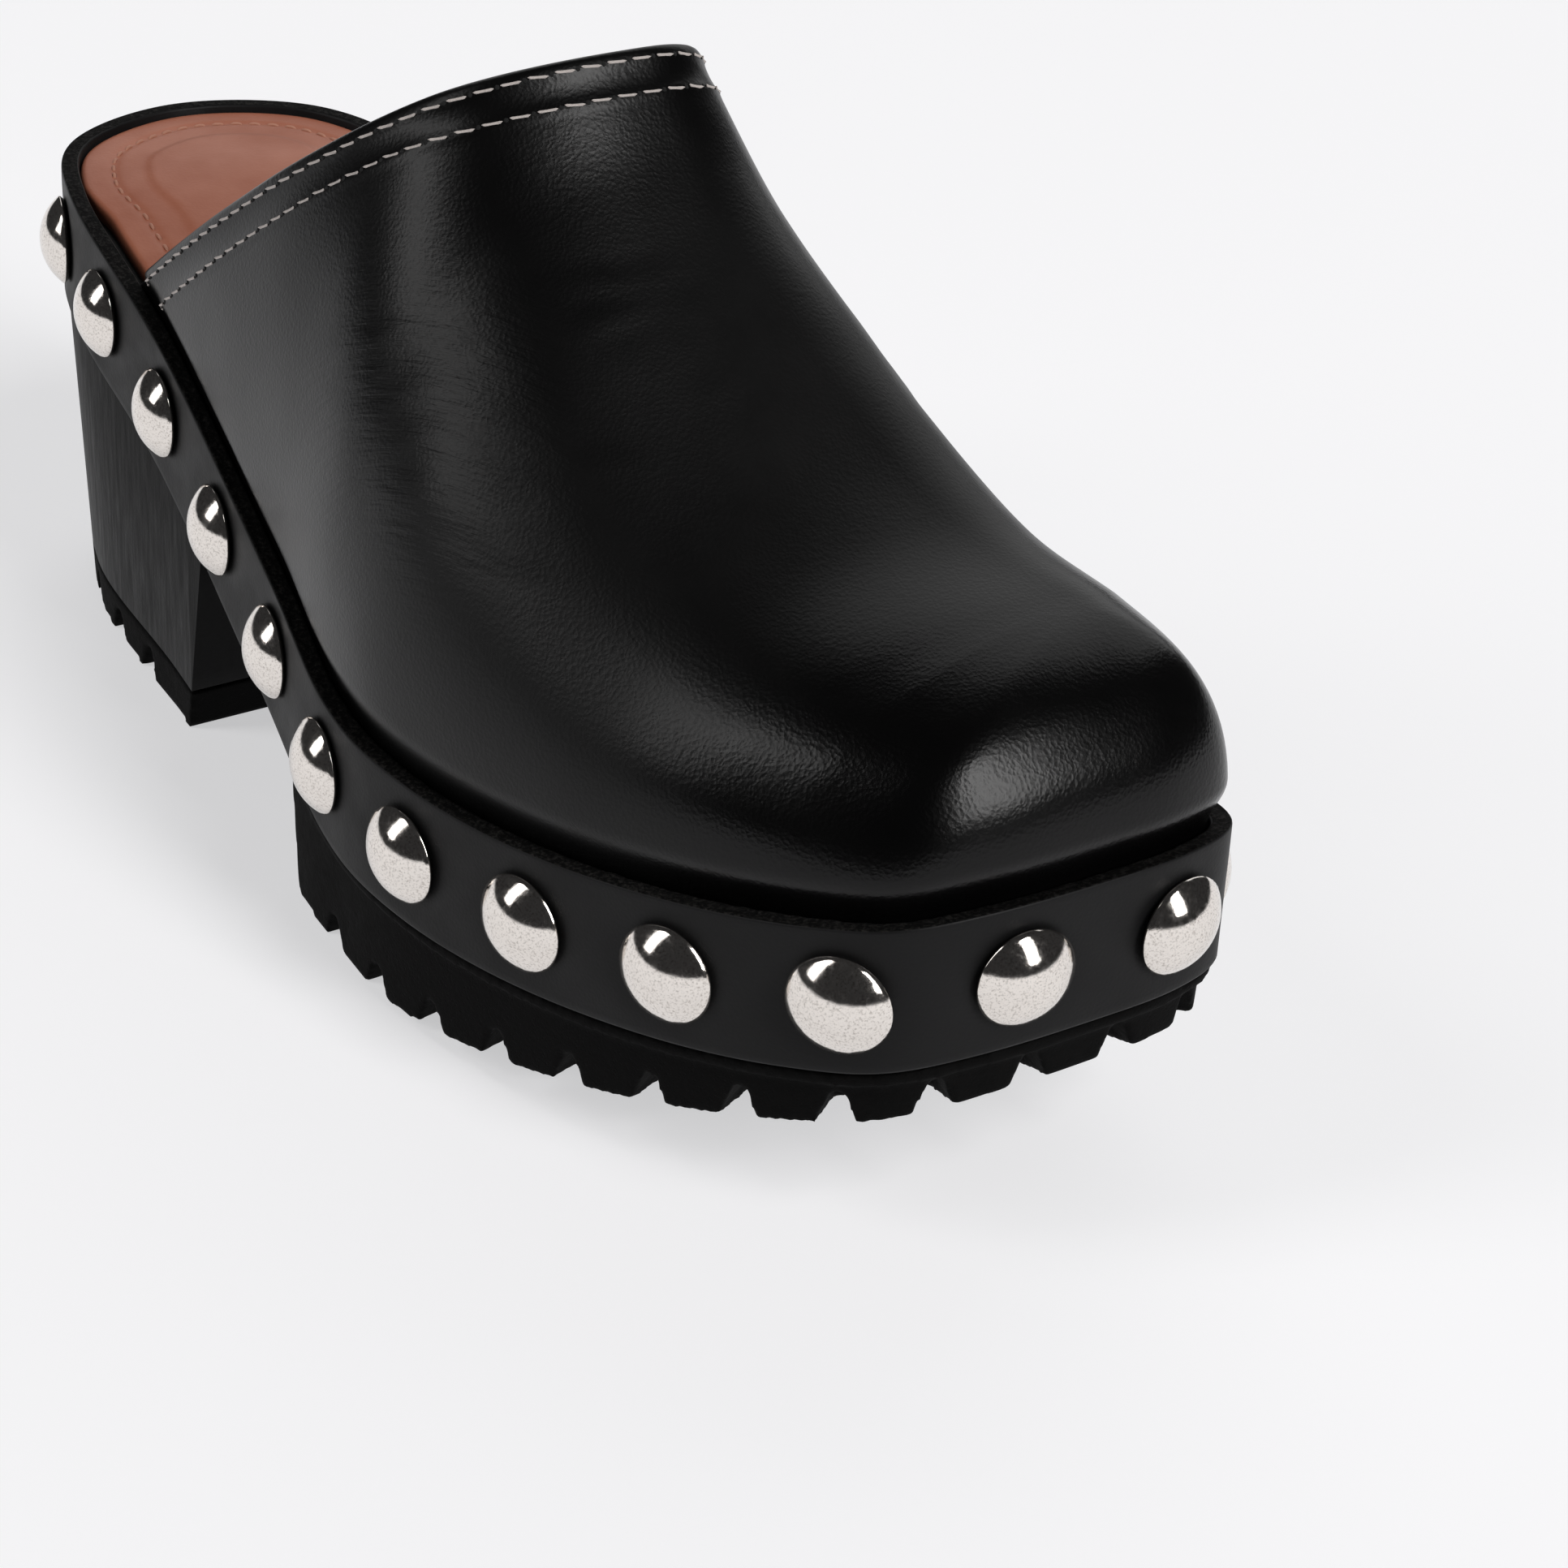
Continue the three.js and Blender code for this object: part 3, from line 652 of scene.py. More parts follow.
tan_thread = new_finish("tan_thread", (0.45, 0.21, 0.14), 0.7)
tan_twist = noise(tan_thread, object_place(tan_thread), 0.3, 2)
wire(tan_thread, Normal=relief(tan_thread, tan_twist, 0.06, 0.8))
seam_path = insole_ring(SEAM_INSET, INSOLE_DROP + SEAM_SINK)
seam_points, seam_rows = even_steps(np.vstack([seam_path, seam_path[:1]]), INSOLE_PITCH)
insole_stitch = stitch_blank(INSOLE_STITCH, INSOLE_THREAD, INSOLE_LIFT)
insole_seam = set_row(
    "insole_seam", seam_points, np.tile([0.0, 0.0, 1.0], (len(seam_points), 1)),
    along_path(seam_path, seam_rows), insole_stitch, tan_thread, INSOLE_UNEVENNESS, 3,
)
stand_for(insole_seam, tan_thread, "insole_leather")
bpy.data.objects.remove(insole_stitch)

# Upper
# One piece of smooth black leather pulled over the last and down inside the band, lined in
# tan. Its collar is turned in and its sides show a few soft flex creases over the ball.
UPPER_BULGE, UPPER_BULGE_RISE = 2.1, 7
TOE_BOX_LENGTH = 28
INSTEP_HEIGHT = 86
COLLAR_TOP, COLLAR_LOW, COLLAR_LOW_RISE = 0.546, 0.281, 13
BASE_STATIONS = 440
ARCH_STEPS, ARCH_CROWDING = 104, 1.15
SKIN_ROWS, SKIN_CROWDING = 190, 1.25
RIM_STEPS = 6

# Share of the length, ridge height, ridge place across, and the squareness of each side
SECTIONS = np.array([
    (0.1, 1.34, 0.085, 1.83, 2.4),
    (0.3, 1.27, 0.085, 1.83, 2.4),
    (0.42, 1.219, 0.085, 1.9, 2.31),
    (0.519, 1.09, 0.085, 2.05, 2.23),
    (0.6, 0.867, 0.09, 2.32, 2.3),
    (0.7, 0.647, 0.154, 2.73, 2.15),
    (0.8, 0.457, 0.218, 2.75, 2.4),
    (0.88, 0.384, 0.272, 2.64, 2.38),
    (0.96, 0.324, 0.311, 2.35, 2.35),
])
RIDGE_HEIGHT, RIDGE_ACROSS, OUTER_SIDE, INNER_SIDE = 1, 2, 3, 4


def section_value(column, along):
    """A smooth line through one column of the section table."""
    shares, values = SECTIONS[:, 0], SECTIONS[:, column]
    last = len(shares) - 1
    ends = np.arange(last + 1)
    before, after = np.maximum(ends - 1, 0), np.minimum(ends + 1, last)
    slopes = (values[after] - values[before]) / (shares[after] - shares[before])
    start = np.clip(np.searchsorted(shares, along, side="right") - 1, 0, last - 1)
    width = shares[start + 1] - shares[start]
    t = np.clip((along - shares[start]) / width, 0, 1)
    rise = values[start + 1] - values[start]
    leave, arrive = slopes[start] * width, slopes[start + 1] * width
    bend = 3 * rise - 2 * leave - arrive + (leave + arrive - 2 * rise) * t
    return values[start] + t * (leave + t * bend)


def ridge_line(x, inset):
    return top_line(x) + INSTEP_HEIGHT * section_value(RIDGE_HEIGHT, x / LENGTH) - inset


def half_arch(place, out, side, ridge_x, inset):
    """One side of every section of the last, from inside the band up and over to the ridge."""
    foot = place - out * (CORE_INSET + lean_at(0) + inset)
    springing = (top_line(foot[:, 0]) + CLEARANCE)[:, None]
    power = (2 / section_value(side, foot[:, 0] / LENGTH))[:, None]
    ridge_y = section_value(RIDGE_ACROSS, ridge_x / LENGTH) * BALL_WIDTH
    angle = (np.linspace(0, 1, ARCH_STEPS)[None] ** ARCH_CROWDING) * math.pi / 2
    near = np.clip(np.cos(angle), 0, 1) ** power
    x = mix(ridge_x[:, None], foot[:, :1], near)
    y = mix(ridge_y[:, None], foot[:, 1:], near)
    z = mix(springing, ridge_line(x, inset), np.sin(angle) ** power)
    bulge = UPPER_BULGE * near * smoothstep((z - springing) / UPPER_BULGE_RISE)
    arch = np.stack([x + out[:, :1] * bulge, y + out[:, 1:] * bulge, z], -1)
    bottom = np.column_stack([foot, top_line(foot[:, 0]) - INSOLE_FOOT])[:, None]
    return np.concatenate([bottom, arch], axis=1)


def last_grid(inset):
    """The whole last as a grid: stations from the back to the toe, and columns over the foot."""
    share = np.linspace(0, 1, BASE_STATIONS + 1)
    outer_place, outer_out = outline_at(mix(heel_share, toe_share, share))
    inner_place, inner_out = outline_at(mix(heel_share + 1, toe_share, share))
    ridge_x = np.minimum((outer_place[:, 0] + inner_place[:, 0]) / 2, LENGTH - TOE_BOX_LENGTH)
    outer = half_arch(outer_place, outer_out, OUTER_SIDE, ridge_x, inset)
    inner = half_arch(inner_place, inner_out, INNER_SIDE, ridge_x, inset)
    kept = outer_place[:, 0] > UPPER_BACK * LENGTH
    return np.concatenate([outer, inner[:, -2::-1]], axis=1)[kept]


def grid_normals(grid):
    along, around = np.gradient(grid, axis=0), np.gradient(grid, axis=1)
    normal = np.cross(around, along)
    length = np.linalg.norm(normal, axis=2, keepdims=True)
    return normal / np.maximum(length, 1e-9)


collar_low = np.array([COLLAR_LOW * LENGTH, 0, top_line(COLLAR_LOW * LENGTH) + COLLAR_LOW_RISE])
collar_top = np.array([COLLAR_TOP * LENGTH, 0, top_line(COLLAR_TOP * LENGTH) + INSTEP_HEIGHT])
collar_run = (collar_top - collar_low) / np.linalg.norm(collar_top - collar_low)
collar_normal = np.array([collar_run[2], 0, -collar_run[0]])
LEAST_SLOPE = 0.15


def collar_distance(grid):
    """How far each point lies from the collar's cut, measured over the leather."""
    straight = (grid - collar_low) @ collar_normal
    slope = grid_normals(grid) @ collar_normal
    return straight / np.sqrt(np.maximum(1 - slope**2, LEAST_SLOPE))


def stations_at(distance, wanted):
    """In every column, the station where the distance from the collar is reached."""
    below = distance < wanted
    last = len(distance) - 1 - below[::-1].argmax(axis=0)
    columns = np.arange(distance.shape[1])
    low, high = distance[last, columns], distance[last + 1, columns]
    return last + (wanted - low) / (high - low)


def grid_at(grid, stations, columns):
    low = np.clip(np.floor(stations).astype(int), 0, len(grid) - 1)
    high = np.minimum(low + 1, len(grid) - 1)
    return mix(grid[low, columns], grid[high, columns], (stations - low)[..., None])


def skin(inset, start):
    """The last's surface as rows from the collar's edge to the toe."""
    grid = last_grid(inset)
    first = stations_at(collar_distance(grid), start)
    rows = (np.linspace(0, 1, SKIN_ROWS)[:, None]) ** SKIN_CROWDING
    stations = mix(first[None], len(grid) - 1, rows)
    columns = np.broadcast_to(np.arange(grid.shape[1]), stations.shape)
    return grid_at(grid, stations, columns)


RIDGE_END = LENGTH - TOE_BOX_LENGTH
RIDGE_EASE, RIDGE_EASE_FADE = 3, 2
ridge_end = np.array([RIDGE_END, section_value(RIDGE_ACROSS, RIDGE_END / LENGTH) * BALL_WIDTH])


def eased_normals(points):
    """The skin's normals, even where its columns meet at the ridge's end."""
    normals = grid_normals(points)
    reach = np.linalg.norm(points[..., :2] - ridge_end, axis=-1)
    general = normals[np.abs(reach - RIDGE_EASE) < 1].mean(axis=0)
    normals = mix(normals, general, smoothstep((RIDGE_EASE - reach) / RIDGE_EASE_FADE)[..., None])
    return normals / np.maximum(np.linalg.norm(normals, axis=2, keepdims=True), 1e-9)


outer_skin = skin(0, UPPER_WALL / 2)
lining_skin = skin(UPPER_WALL, UPPER_WALL / 2)
skin_columns = outer_skin.shape[1]
skin_normal = eased_normals(outer_skin)

# Flex creases: their start, middle and end on the last, half width and depth
CREASES = (
    ((141.1, -39.6, 91.7), (150.1, -35.7, 98.6), (161.0, -30.6, 101.0), 1.7, 0.09),
    ((145.6, -40.0, 90.5), (155.4, -35.5, 96.5), (166.1, -30.6, 98.5), 1.6, 0.08),
    ((152.7, -39.9, 89.3), (161.3, -34.7, 95.2), (172.8, -30.1, 95.3), 1.8, 0.11),
    ((152.3, -41.1, 86.5), (160.9, -37.6, 91.1), (170.9, -33.4, 92.7), 1.5, 0.08),
    ((157.0, -41.7, 84.2), (166.4, -37.2, 89.8), (179.8, -32.3, 88.7), 2.0, 0.12),
    ((160.5, -42.2, 82.3), (168.7, -38.4, 86.7), (178.1, -34.8, 87.2), 1.5, 0.08),
    ((162.1, -43.1, 79.5), (172.4, -38.4, 84.9), (186.4, -32.7, 84.0), 2.0, 0.11),
    ((171.0, -41.1, 81.2), (179.8, -36.6, 83.3), (188.7, -32.8, 82.1), 1.6, 0.08),
    ((176.4, -39.9, 80.5), (183.8, -36.1, 81.2), (192.2, -31.4, 81.1), 1.6, 0.07),
    ((163.2, -16.0, 109.0), (165.5, -11.1, 108.6), (167.4, -3.9, 109.1), 1.7, 0.04),
    ((169.8, -16.8, 104.4), (169.9, -10.3, 105.6), (170.2, -1.8, 107.4), 1.8, 0.06),
    ((165.8, -11.5, 108.3), (167.2, -5.0, 108.8), (166.2, 2.8, 109.9), 1.7, 0.04),
    ((183.8, -2.9, 97.5), (181.9, 1.9, 98.9), (178.9, 8.5, 101.1), 2.0, 0.05),
    ((180.2, -25.7, 92.9), (184.4, -23.0, 91.7), (187.4, -16.6, 92.3), 1.7, 0.04),
    ((176.0, 40.5, 80.0), (171.0, 37.5, 88.0), (169.0, 31.5, 95.5), 2.4, 0.22),
    ((185.0, 41.0, 77.0), (180.5, 38.0, 84.0), (178.5, 32.0, 90.5), 2.2, 0.18),
)
CREASE_STEPS, CREASE_FADE = 25, 0.7
CREASE_TROUGH, CREASE_RIDGE, CREASE_RIDGE_AWAY = 1.5, 0.8, 2.1


def crease_relief(points):
    """Soft troughs with low ridges beside them, each along a bow over the last."""
    flat = points.reshape(-1, 3)
    total = np.zeros(len(flat))
    t = np.linspace(0, 1, CREASE_STEPS)[:, None]
    for start, middle, end, width, depth in CREASES:
        start, middle, end = (np.array(place) for place in (start, middle, end))
        bend = 2 * middle - (start + end) / 2
        bow = (1 - t) ** 2 * start + 2 * t * (1 - t) * bend + t**2 * end
        away = np.linalg.norm(flat[:, None] - bow[None], axis=2)
        reach = away.min(axis=1)
        fade = np.sin(math.pi * (away.argmin(axis=1) + 0.5) / CREASE_STEPS) ** CREASE_FADE
        trough = np.exp(-((reach / width) ** 2))
        ridges = np.exp(-(((reach - CREASE_RIDGE_AWAY * width) / width) ** 2))
        total += fade * depth * (CREASE_RIDGE * ridges - CREASE_TROUGH * trough)
    return total.reshape(points.shape[:2])


# The two seams' distances from the collar's edge, the fold's swell between them, the pull of
# their threads, the hand-made unevenness, and how far over the band the leather is free
SEAM_ROWS = (2.1, 7.2)
FOLD_SWELL, FOLD_REACH = 0.22, 2.2
THREAD_PULL, THREAD_REACH = 0.16, 0.7
HAND_DEPTH, HAND_SIZE = 0.10, 30
FREE_HEIGHT = 6

edge_reach = collar_distance(outer_skin)
turned = FOLD_SWELL * np.exp(-(((edge_reach - sum(SEAM_ROWS) / 2) / FOLD_REACH) ** 2))
pulled = -THREAD_PULL * sum(np.exp(-(((edge_reach - row) / THREAD_REACH) ** 2)) for row in SEAM_ROWS)
hand = HAND_DEPTH * rough(outer_skin.reshape(-1, 3), HAND_SIZE, 11).reshape(edge_reach.shape)
free = smoothstep((outer_skin[..., 2] - top_line(outer_skin[..., 0])) / FREE_HEIGHT)
swell = free * (crease_relief(outer_skin) + turned + pulled + hand)
outer_skin = outer_skin + skin_normal * swell[..., None]

rim_centre = (outer_skin[0] + lining_skin[0]) / 2
rim_radius = (outer_skin[0] - lining_skin[0]) / 2
rim_back = outer_skin[0] - outer_skin[2]
rim_length = np.linalg.norm(rim_radius, axis=1, keepdims=True)
rim_back *= rim_length / np.linalg.norm(rim_back, axis=1, keepdims=True)
rim = [
    rim_centre + rim_radius * math.cos(angle) + rim_back * math.sin(angle)
    for angle in np.linspace(0, math.pi, RIM_STEPS + 2)[1:-1]
]
upper_grid = np.concatenate([outer_skin[::-1], np.stack(rim), lining_skin])
upper_rows = len(upper_grid)
upper_index = np.arange(upper_rows * skin_columns).reshape(upper_rows, skin_columns)


def grid_quads(index):
    corners = index[:-1, :-1], index[1:, :-1], index[1:, 1:], index[:-1, 1:]
    return np.stack(corners, -1).reshape(-1, 4).tolist()


upper_faces = grid_quads(upper_index)
for column in (0, skin_columns - 1):
    edge = upper_index[:, column]
    outside, within = edge[:SKIN_ROWS], edge[::-1][:SKIN_ROWS]
    pairs = zip(outside, outside[1:], within[1:], within)
    upper_faces += [list(map(int, face)) for face in pairs]
    upper_faces.append(edge[SKIN_ROWS - 1:SKIN_ROWS + RIM_STEPS + 1].tolist())
upper = new_object(new_mesh("leather_upper", upper_grid, upper_faces))


black = new_finish("black_leather", (0.0025, 0.0025, 0.0025), 0.3, Specular_IOR_Level=0.2)
black_place = object_place(black)
black_warp = noise(black, black_place, 2, 2, output="Color")
black_bent = maths(black, "MULTIPLY_ADD", black_warp, (0.0011, 0.0011, 0.0011), black_place)
black_pebble = relief(black, cells(black, black_bent, 0.62), 0.045, 0.55)
black_pores = relief(black, noise(black, black_place, 0.4, 3, 0.6), 0.03, 0.5, black_pebble)

# Fine flex wrinkles run in long rings over the ball's outer side, where the shoe bends.
# The rings' centre and the middle of their zone are places in the frame, in metres.
FLEX_CENTRE = (0.0688, -0.0548, 0.0347)
FLEX_ZONE = (0.0303, -0.0359, 0.090)
FLEX_FULL, FLEX_NONE = 0.014, 0.034
FLEX_STRETCH = 0.22
flex_offset = maths(black, "SUBTRACT", black_place, FLEX_CENTRE)
flex_reach = maths(black, "LENGTH", flex_offset, output="Value")
flex_rings = add_node(black, "ShaderNodeCombineXYZ", ("X", flex_reach)).outputs["Vector"]
flex_place = maths(black, "MULTIPLY_ADD", flex_offset, (FLEX_STRETCH,) * 3, flex_rings)
flex_away = maths(black, "DISTANCE", black_place, FLEX_ZONE, output="Value")
flex_depth = spread(black, flex_away, FLEX_FULL, FLEX_NONE, 0.7, 0)

# Stretched and burnished over the toe, the leather is glossier there than where it bends
black_cloud = noise(black, black_place, 26, 4, 0.6)
black_along = add_node(black, "ShaderNodeSeparateXYZ", ("Vector", black_place)).outputs["X"]
black_gloss = spread(black, black_along, 0.02, 0.045, -0.08, 0)
for change in (
    spread(black, black_along, 0.08, 0.1, 0.39, 0.24), spread(black, black_cloud, 0.3, 0.7, -0.035, 0.035),
):
    black_gloss = maths(black, "ADD", black_gloss, change, kind="ShaderNodeMath", output="Value")
wire(
    black,
    Base_Color=blend_colours(black, black_cloud, (0.0008, 0.0008, 0.0009), (0.0018, 0.0017, 0.0017)),
    Roughness=black_gloss,
    Normal=relief(black, noise(black, flex_place, 0.9, 3, 0.6), 0.2, flex_depth, black_pores),
)
lining = new_finish("tan_lining", (0.34, 0.17, 0.11), 0.65)
lining_place = object_place(lining)
lining_cloud = noise(lining, lining_place, 9, 5)
wire(
    lining,
    Base_Color=blend_colours(lining, lining_cloud, (0.30, 0.145, 0.09), (0.40, 0.21, 0.14)),
    Normal=relief(lining, cells(lining, lining_place, 0.7), 0.05, 0.4),
)

# The upper's faces are lined where all their corners are points of the lining's own mesh
SAME_PLACE = 5e-6


def corner_places(made):
    return [tuple(round(v / SAME_PLACE) for v in vertex.co) for vertex in made.data.vertices]


lining_index = np.arange(lining_skin.size // 3).reshape(lining_skin.shape[:2])
inside = new_object(new_mesh("inside", lining_skin, grid_quads(lining_index)))
lining_places = set(corner_places(inside))
lined = [place in lining_places for place in corner_places(upper)]
upper.data.materials.append(black)
upper.data.materials.append(lining)
for face in upper.data.polygons:
    face.material_index = int(all(lined[at] for at in face.vertices))
bpy.data.objects.remove(inside)
stand_for(upper, None, "upper_leather", "upper")

# Collar seams
# Two rows of off-white thread through the turned collar. Between one stitch and the next
# a shallow bead painted near-black stands for the shade inside a needle hole.
COLLAR_PITCH, COLLAR_STITCH = 3.95, 3.0
COLLAR_THREAD, COLLAR_LIFT = 0.5, 0.13
COLLAR_SLANT, COLLAR_UNEVENNESS = 0.1, 0.06
SEAM_SHOWS_FROM = 1.5
HOLE_WIDTH, HOLE_FLATNESS = 0.85, 0.3


def kept_shape(name, shape):
    """Turns a shape that was worked face by face into an object."""
    mesh = bpy.data.meshes.new(name)
    shape.to_mesh(mesh)
    shape.free()
    return new_object(mesh)


def hole_blank():
    """A shallow bead, painted dark for the shade inside a needle hole."""
    shape = bmesh.new()
    bmesh.ops.create_icosphere(shape, subdivisions=1, radius=HOLE_WIDTH / 2 * MM)
    bmesh.ops.scale(shape, vec=(1, 1, HOLE_FLATNESS), verts=shape.verts)
    return kept_shape("hole_blank", shape)


thread = new_finish("off_white_thread", (0.5, 0.45, 0.42), 0.65)
thread_twist = noise(thread, object_place(thread), 0.35, 3)
wire(
    thread,
    Base_Color=blend_colours(thread, thread_twist, (0.36, 0.32, 0.30), (0.58, 0.53, 0.50)),
    Normal=relief(thread, thread_twist, 0.07, 0.8),
)
# The beads' near-black, matte colour is painted shade: the dark inside of each needle hole.
hole_shade_finish = new_finish("needle_hole", (0.002, 0.002, 0.002), 0.9)
collar_stitch = stitch_blank(COLLAR_STITCH, COLLAR_THREAD, COLLAR_LIFT)
needle_hole = hole_blank()
skin_reach = collar_distance(outer_skin)
skin_facing = grid_normals(outer_skin)
all_columns = np.arange(skin_columns)
for number, distance in enumerate(SEAM_ROWS, 1):
    crossing = stations_at(skin_reach, distance)
    path = grid_at(outer_skin, crossing, all_columns)
    facing = grid_at(skin_facing, crossing, all_columns)
    shown = path[:, 2] > top_line(path[:, 0]) + SEAM_SHOWS_FROM
    path, facing = path[shown], facing[shown]
    for kind, piece, finish, start in (
        ("stitches", collar_stitch, thread, 0.5), ("holes", needle_hole, hole_shade_finish, 1.0),
    ):
        points, rows = even_steps(path, COLLAR_PITCH, start)
        points, rows = points[rows < len(path) - 1], rows[rows < len(path) - 1]
        outward, forward = at_rows(facing, rows), along_path(path, rows)
        slanted = forward + COLLAR_SLANT * np.cross(outward, forward)
        row = set_row(
            f"collar_{kind}_{number}", points, outward, slanted, piece, finish, COLLAR_UNEVENNESS, number,
        )
        stand_for(row, finish, "upper_leather")
bpy.data.objects.remove(collar_stitch)
bpy.data.objects.remove(needle_hole)

# Forepart and heel lift
# Moulded black rubber, slightly porous, with a lip under the band, wedge-shaped notches
# round its edge and cross grooves in its middle. The lift under the heel has like notches.
SOLE_START = 0.53
SOLE_BREAST_LEAN = 2
SOLE_BREAST_INSET, SOLE_BREAST_LENGTH = 0.2, 22
SOLE_LIP_HEIGHT, SOLE_LIP_INSET = 2.2, 0.2
SOLE_INSET = 1.6
ROCKER_START, ROCKER_RISE, ROCKER_POWER = 0.635, 26.5, 1.5
NOTCH_COUNT = 42
NOTCH_FIRST = 0.75
NOTCH_MOUTH, NOTCH_ROOF = 5.6, 2
NOTCH_DEPTH, NOTCH_REACH = 5, 9
NOTCH_PITCH = 14.65
GROOVE_COUNT = 6
GROOVE_WIDTH, GROOVE_DEPTH, GROOVE_FIELD = 3.2, 2.4, 0.6
RUBBER_GRAIN, RUBBER_SOFTENING = 0.62, 0.5
SOLE_PASSES = 3


def tread_line(x):
    share = np.maximum((x / LENGTH - ROCKER_START) / (1 - ROCKER_START), 0)
    return ROCKER_RISE * share**ROCKER_POWER


def sole_inset(x):
    past = (x - SOLE_START * LENGTH) / SOLE_BREAST_LENGTH
    return mix(SOLE_BREAST_INSET, SOLE_INSET, smoothstep(past))


def sole_top(x):
    return band_foot(x) - CLEARANCE


def lip_foot(x):
    return sole_top(x) - SOLE_LIP_HEIGHT


def cut_along(made, place, normal):
    """Cuts off what lies on the side of a plane that its normal points to, and closes the cut."""
    shape = bmesh.new()
    shape.from_mesh(made.data)
    bmesh.ops.bisect_plane(
        shape, geom=[*shape.verts, *shape.edges, *shape.faces], plane_co=Vector(in_frame(place)),
        plane_no=Vector(normal), clear_outer=True,
    )
    bmesh.ops.holes_fill(shape, edges=[edge for edge in shape.edges if edge.is_boundary])
    bmesh.ops.recalc_face_normals(shape, faces=shape.faces)
    shape.to_mesh(made.data)
    shape.free()


def add_wedge(shape, place, out, floor):
    """A notch's cutter, pointing into the sole from its edge."""
    section = (
        (-NOTCH_MOUTH / 2, -NOTCH_DEPTH), (NOTCH_MOUTH / 2, -NOTCH_DEPTH), (NOTCH_MOUTH / 2, 0),
        (NOTCH_ROOF / 2, NOTCH_DEPTH), (-NOTCH_ROOF / 2, NOTCH_DEPTH), (-NOTCH_MOUTH / 2, 0),
    )
    along = np.array([-out[1], out[0]])
    ends = []
    for reach in (-NOTCH_REACH, NOTCH_REACH):
        corners = in_frame([[*(place + out * reach + along * a), floor + z] for a, z in section])
        ends.append([shape.verts.new(Vector(corner)) for corner in corners])
    shape.faces.new(ends[0])
    shape.faces.new(ends[1][::-1])
    for at in range(len(section)):
        beside = (at + 1) % len(section)
        shape.faces.new((ends[0][at], ends[1][at], ends[1][beside], ends[0][beside]))


def notch_cutter(inset_at, floor_at, low, high):
    """The wedges of all the notches between two places along the shoe, as one object."""
    places, outs = outline_at((np.arange(NOTCH_COUNT) + NOTCH_FIRST) / NOTCH_COUNT)
    shape = bmesh.new()
    for place, out in zip(places, outs):
        edge = place - out * inset_at(place[0])
        if low < edge[0] < high:
            add_wedge(shape, edge, out, float(floor_at(edge[0])))
    bmesh.ops.recalc_face_normals(shape, faces=shape.faces)
    return kept_shape("notches", shape)


def groove_cutter():
    """Bars across the middle of the tread, tilted with its rocker."""
    shape = bmesh.new()
    for step in range(1, GROOVE_COUNT + 1):
        x = mix(SOLE_START, 1, step / (GROOVE_COUNT + 1)) * LENGTH
        slope = math.atan2(float(tread_line(x + GROOVE_WIDTH) - tread_line(x)), GROOVE_WIDTH)
        near = outline[np.abs(outline[:, 0] - x) < 2, 1]
        width = (near.max() - near.min()) * GROOVE_FIELD
        middle = (near.max() + near.min()) / 2
        bar = bmesh.ops.create_cube(shape, size=MM)["verts"]
        bmesh.ops.scale(shape, vec=(GROOVE_WIDTH, width, GROOVE_DEPTH * 2), verts=bar)
        bmesh.ops.rotate(shape, matrix=Matrix.Rotation(-slope, 3, "Y"), verts=bar)
        place = Vector(in_frame([x, middle, float(tread_line(x))]))
        bmesh.ops.translate(shape, vec=place, verts=bar)
    return kept_shape("grooves", shape)


def carved(made, *cutters):
    for cutter in cutters:
        cut = made.modifiers.new("cut", "BOOLEAN")
        cut.operation = "DIFFERENCE"
        cut.solver = "MANIFOLD"
        cut.object = cutter
    settled(made)
    for cutter in cutters:
        bpy.data.objects.remove(cutter)
    return made


def moulded(made, passes):
    """Even small faces with edges worn soft, as a rubber moulding has."""
    remesh = made.modifiers.new("even", "REMESH")
    remesh.mode = "VOXEL"
    remesh.voxel_size = RUBBER_GRAIN * MM
    smooth = made.modifiers.new("soft", "SMOOTH")
    smooth.factor = RUBBER_SOFTENING
    smooth.iterations = passes
    return settled(made)


rubber = new_finish("porous_rubber", (0.003, 0.003, 0.003), 0.75, Specular_IOR_Level=0.05)
rubber_place = object_place(rubber)
rubber_skin = relief(rubber, noise(rubber, rubber_place, 1.3, 6, 0.7), 0.22, 0.6)
rubber_pores = spread(rubber, cells(rubber, rubber_place, 0.75), 0.12, 0.32, 0, 1)
rubber_dust = noise(rubber, rubber_place, 3, 6, 0.8)
rubber_worn = spread(rubber, rubber_dust, 0.35, 0.75, 0, 1)
wire(
    rubber,
    Base_Color=blend_colours(rubber, rubber_worn, (0.0012, 0.0012, 0.0012), (0.0045, 0.0043, 0.0042)),
    Roughness=spread(rubber, rubber_dust, 0.3, 0.7, 0.68, 0.85),
    Normal=relief(rubber, rubber_pores, 0.1, 0.35, rubber_skin),
)

forepart = new_object(stacked(
    "lugged_forepart", ring(sole_inset, tread_line), ring(sole_inset, lip_foot),
    ring(SOLE_LIP_INSET, lip_foot), ring(SOLE_LIP_INSET, sole_top),
))
sole_x = SOLE_START * LENGTH
cut_along(forepart, (sole_x, 0, 0), (-float(band_foot(sole_x)), 0, -SOLE_BREAST_LEAN))
carved(forepart, notch_cutter(sole_inset, tread_line, sole_x + NOTCH_PITCH / 2, LENGTH), groove_cutter())
stand_for(moulded(forepart, SOLE_PASSES), rubber, "tread_rubber", "outsole")

# Heel
# A block covered in black, its sides flared a little to the floor, its back leaning in and
# its breast slanted. A notched rubber lift is nailed under it.
HEEL_BREAST, HEEL_BREAST_LEAN = 0.36, 7.5
HEEL_BACK_LEAN = 8
HEEL_SIDE_FLARE = 1.2
HEEL_INSET = 0.2
HEEL_ROUNDING = 0.5
LIFT_HEIGHT = 8
LIFT_PASSES = 2


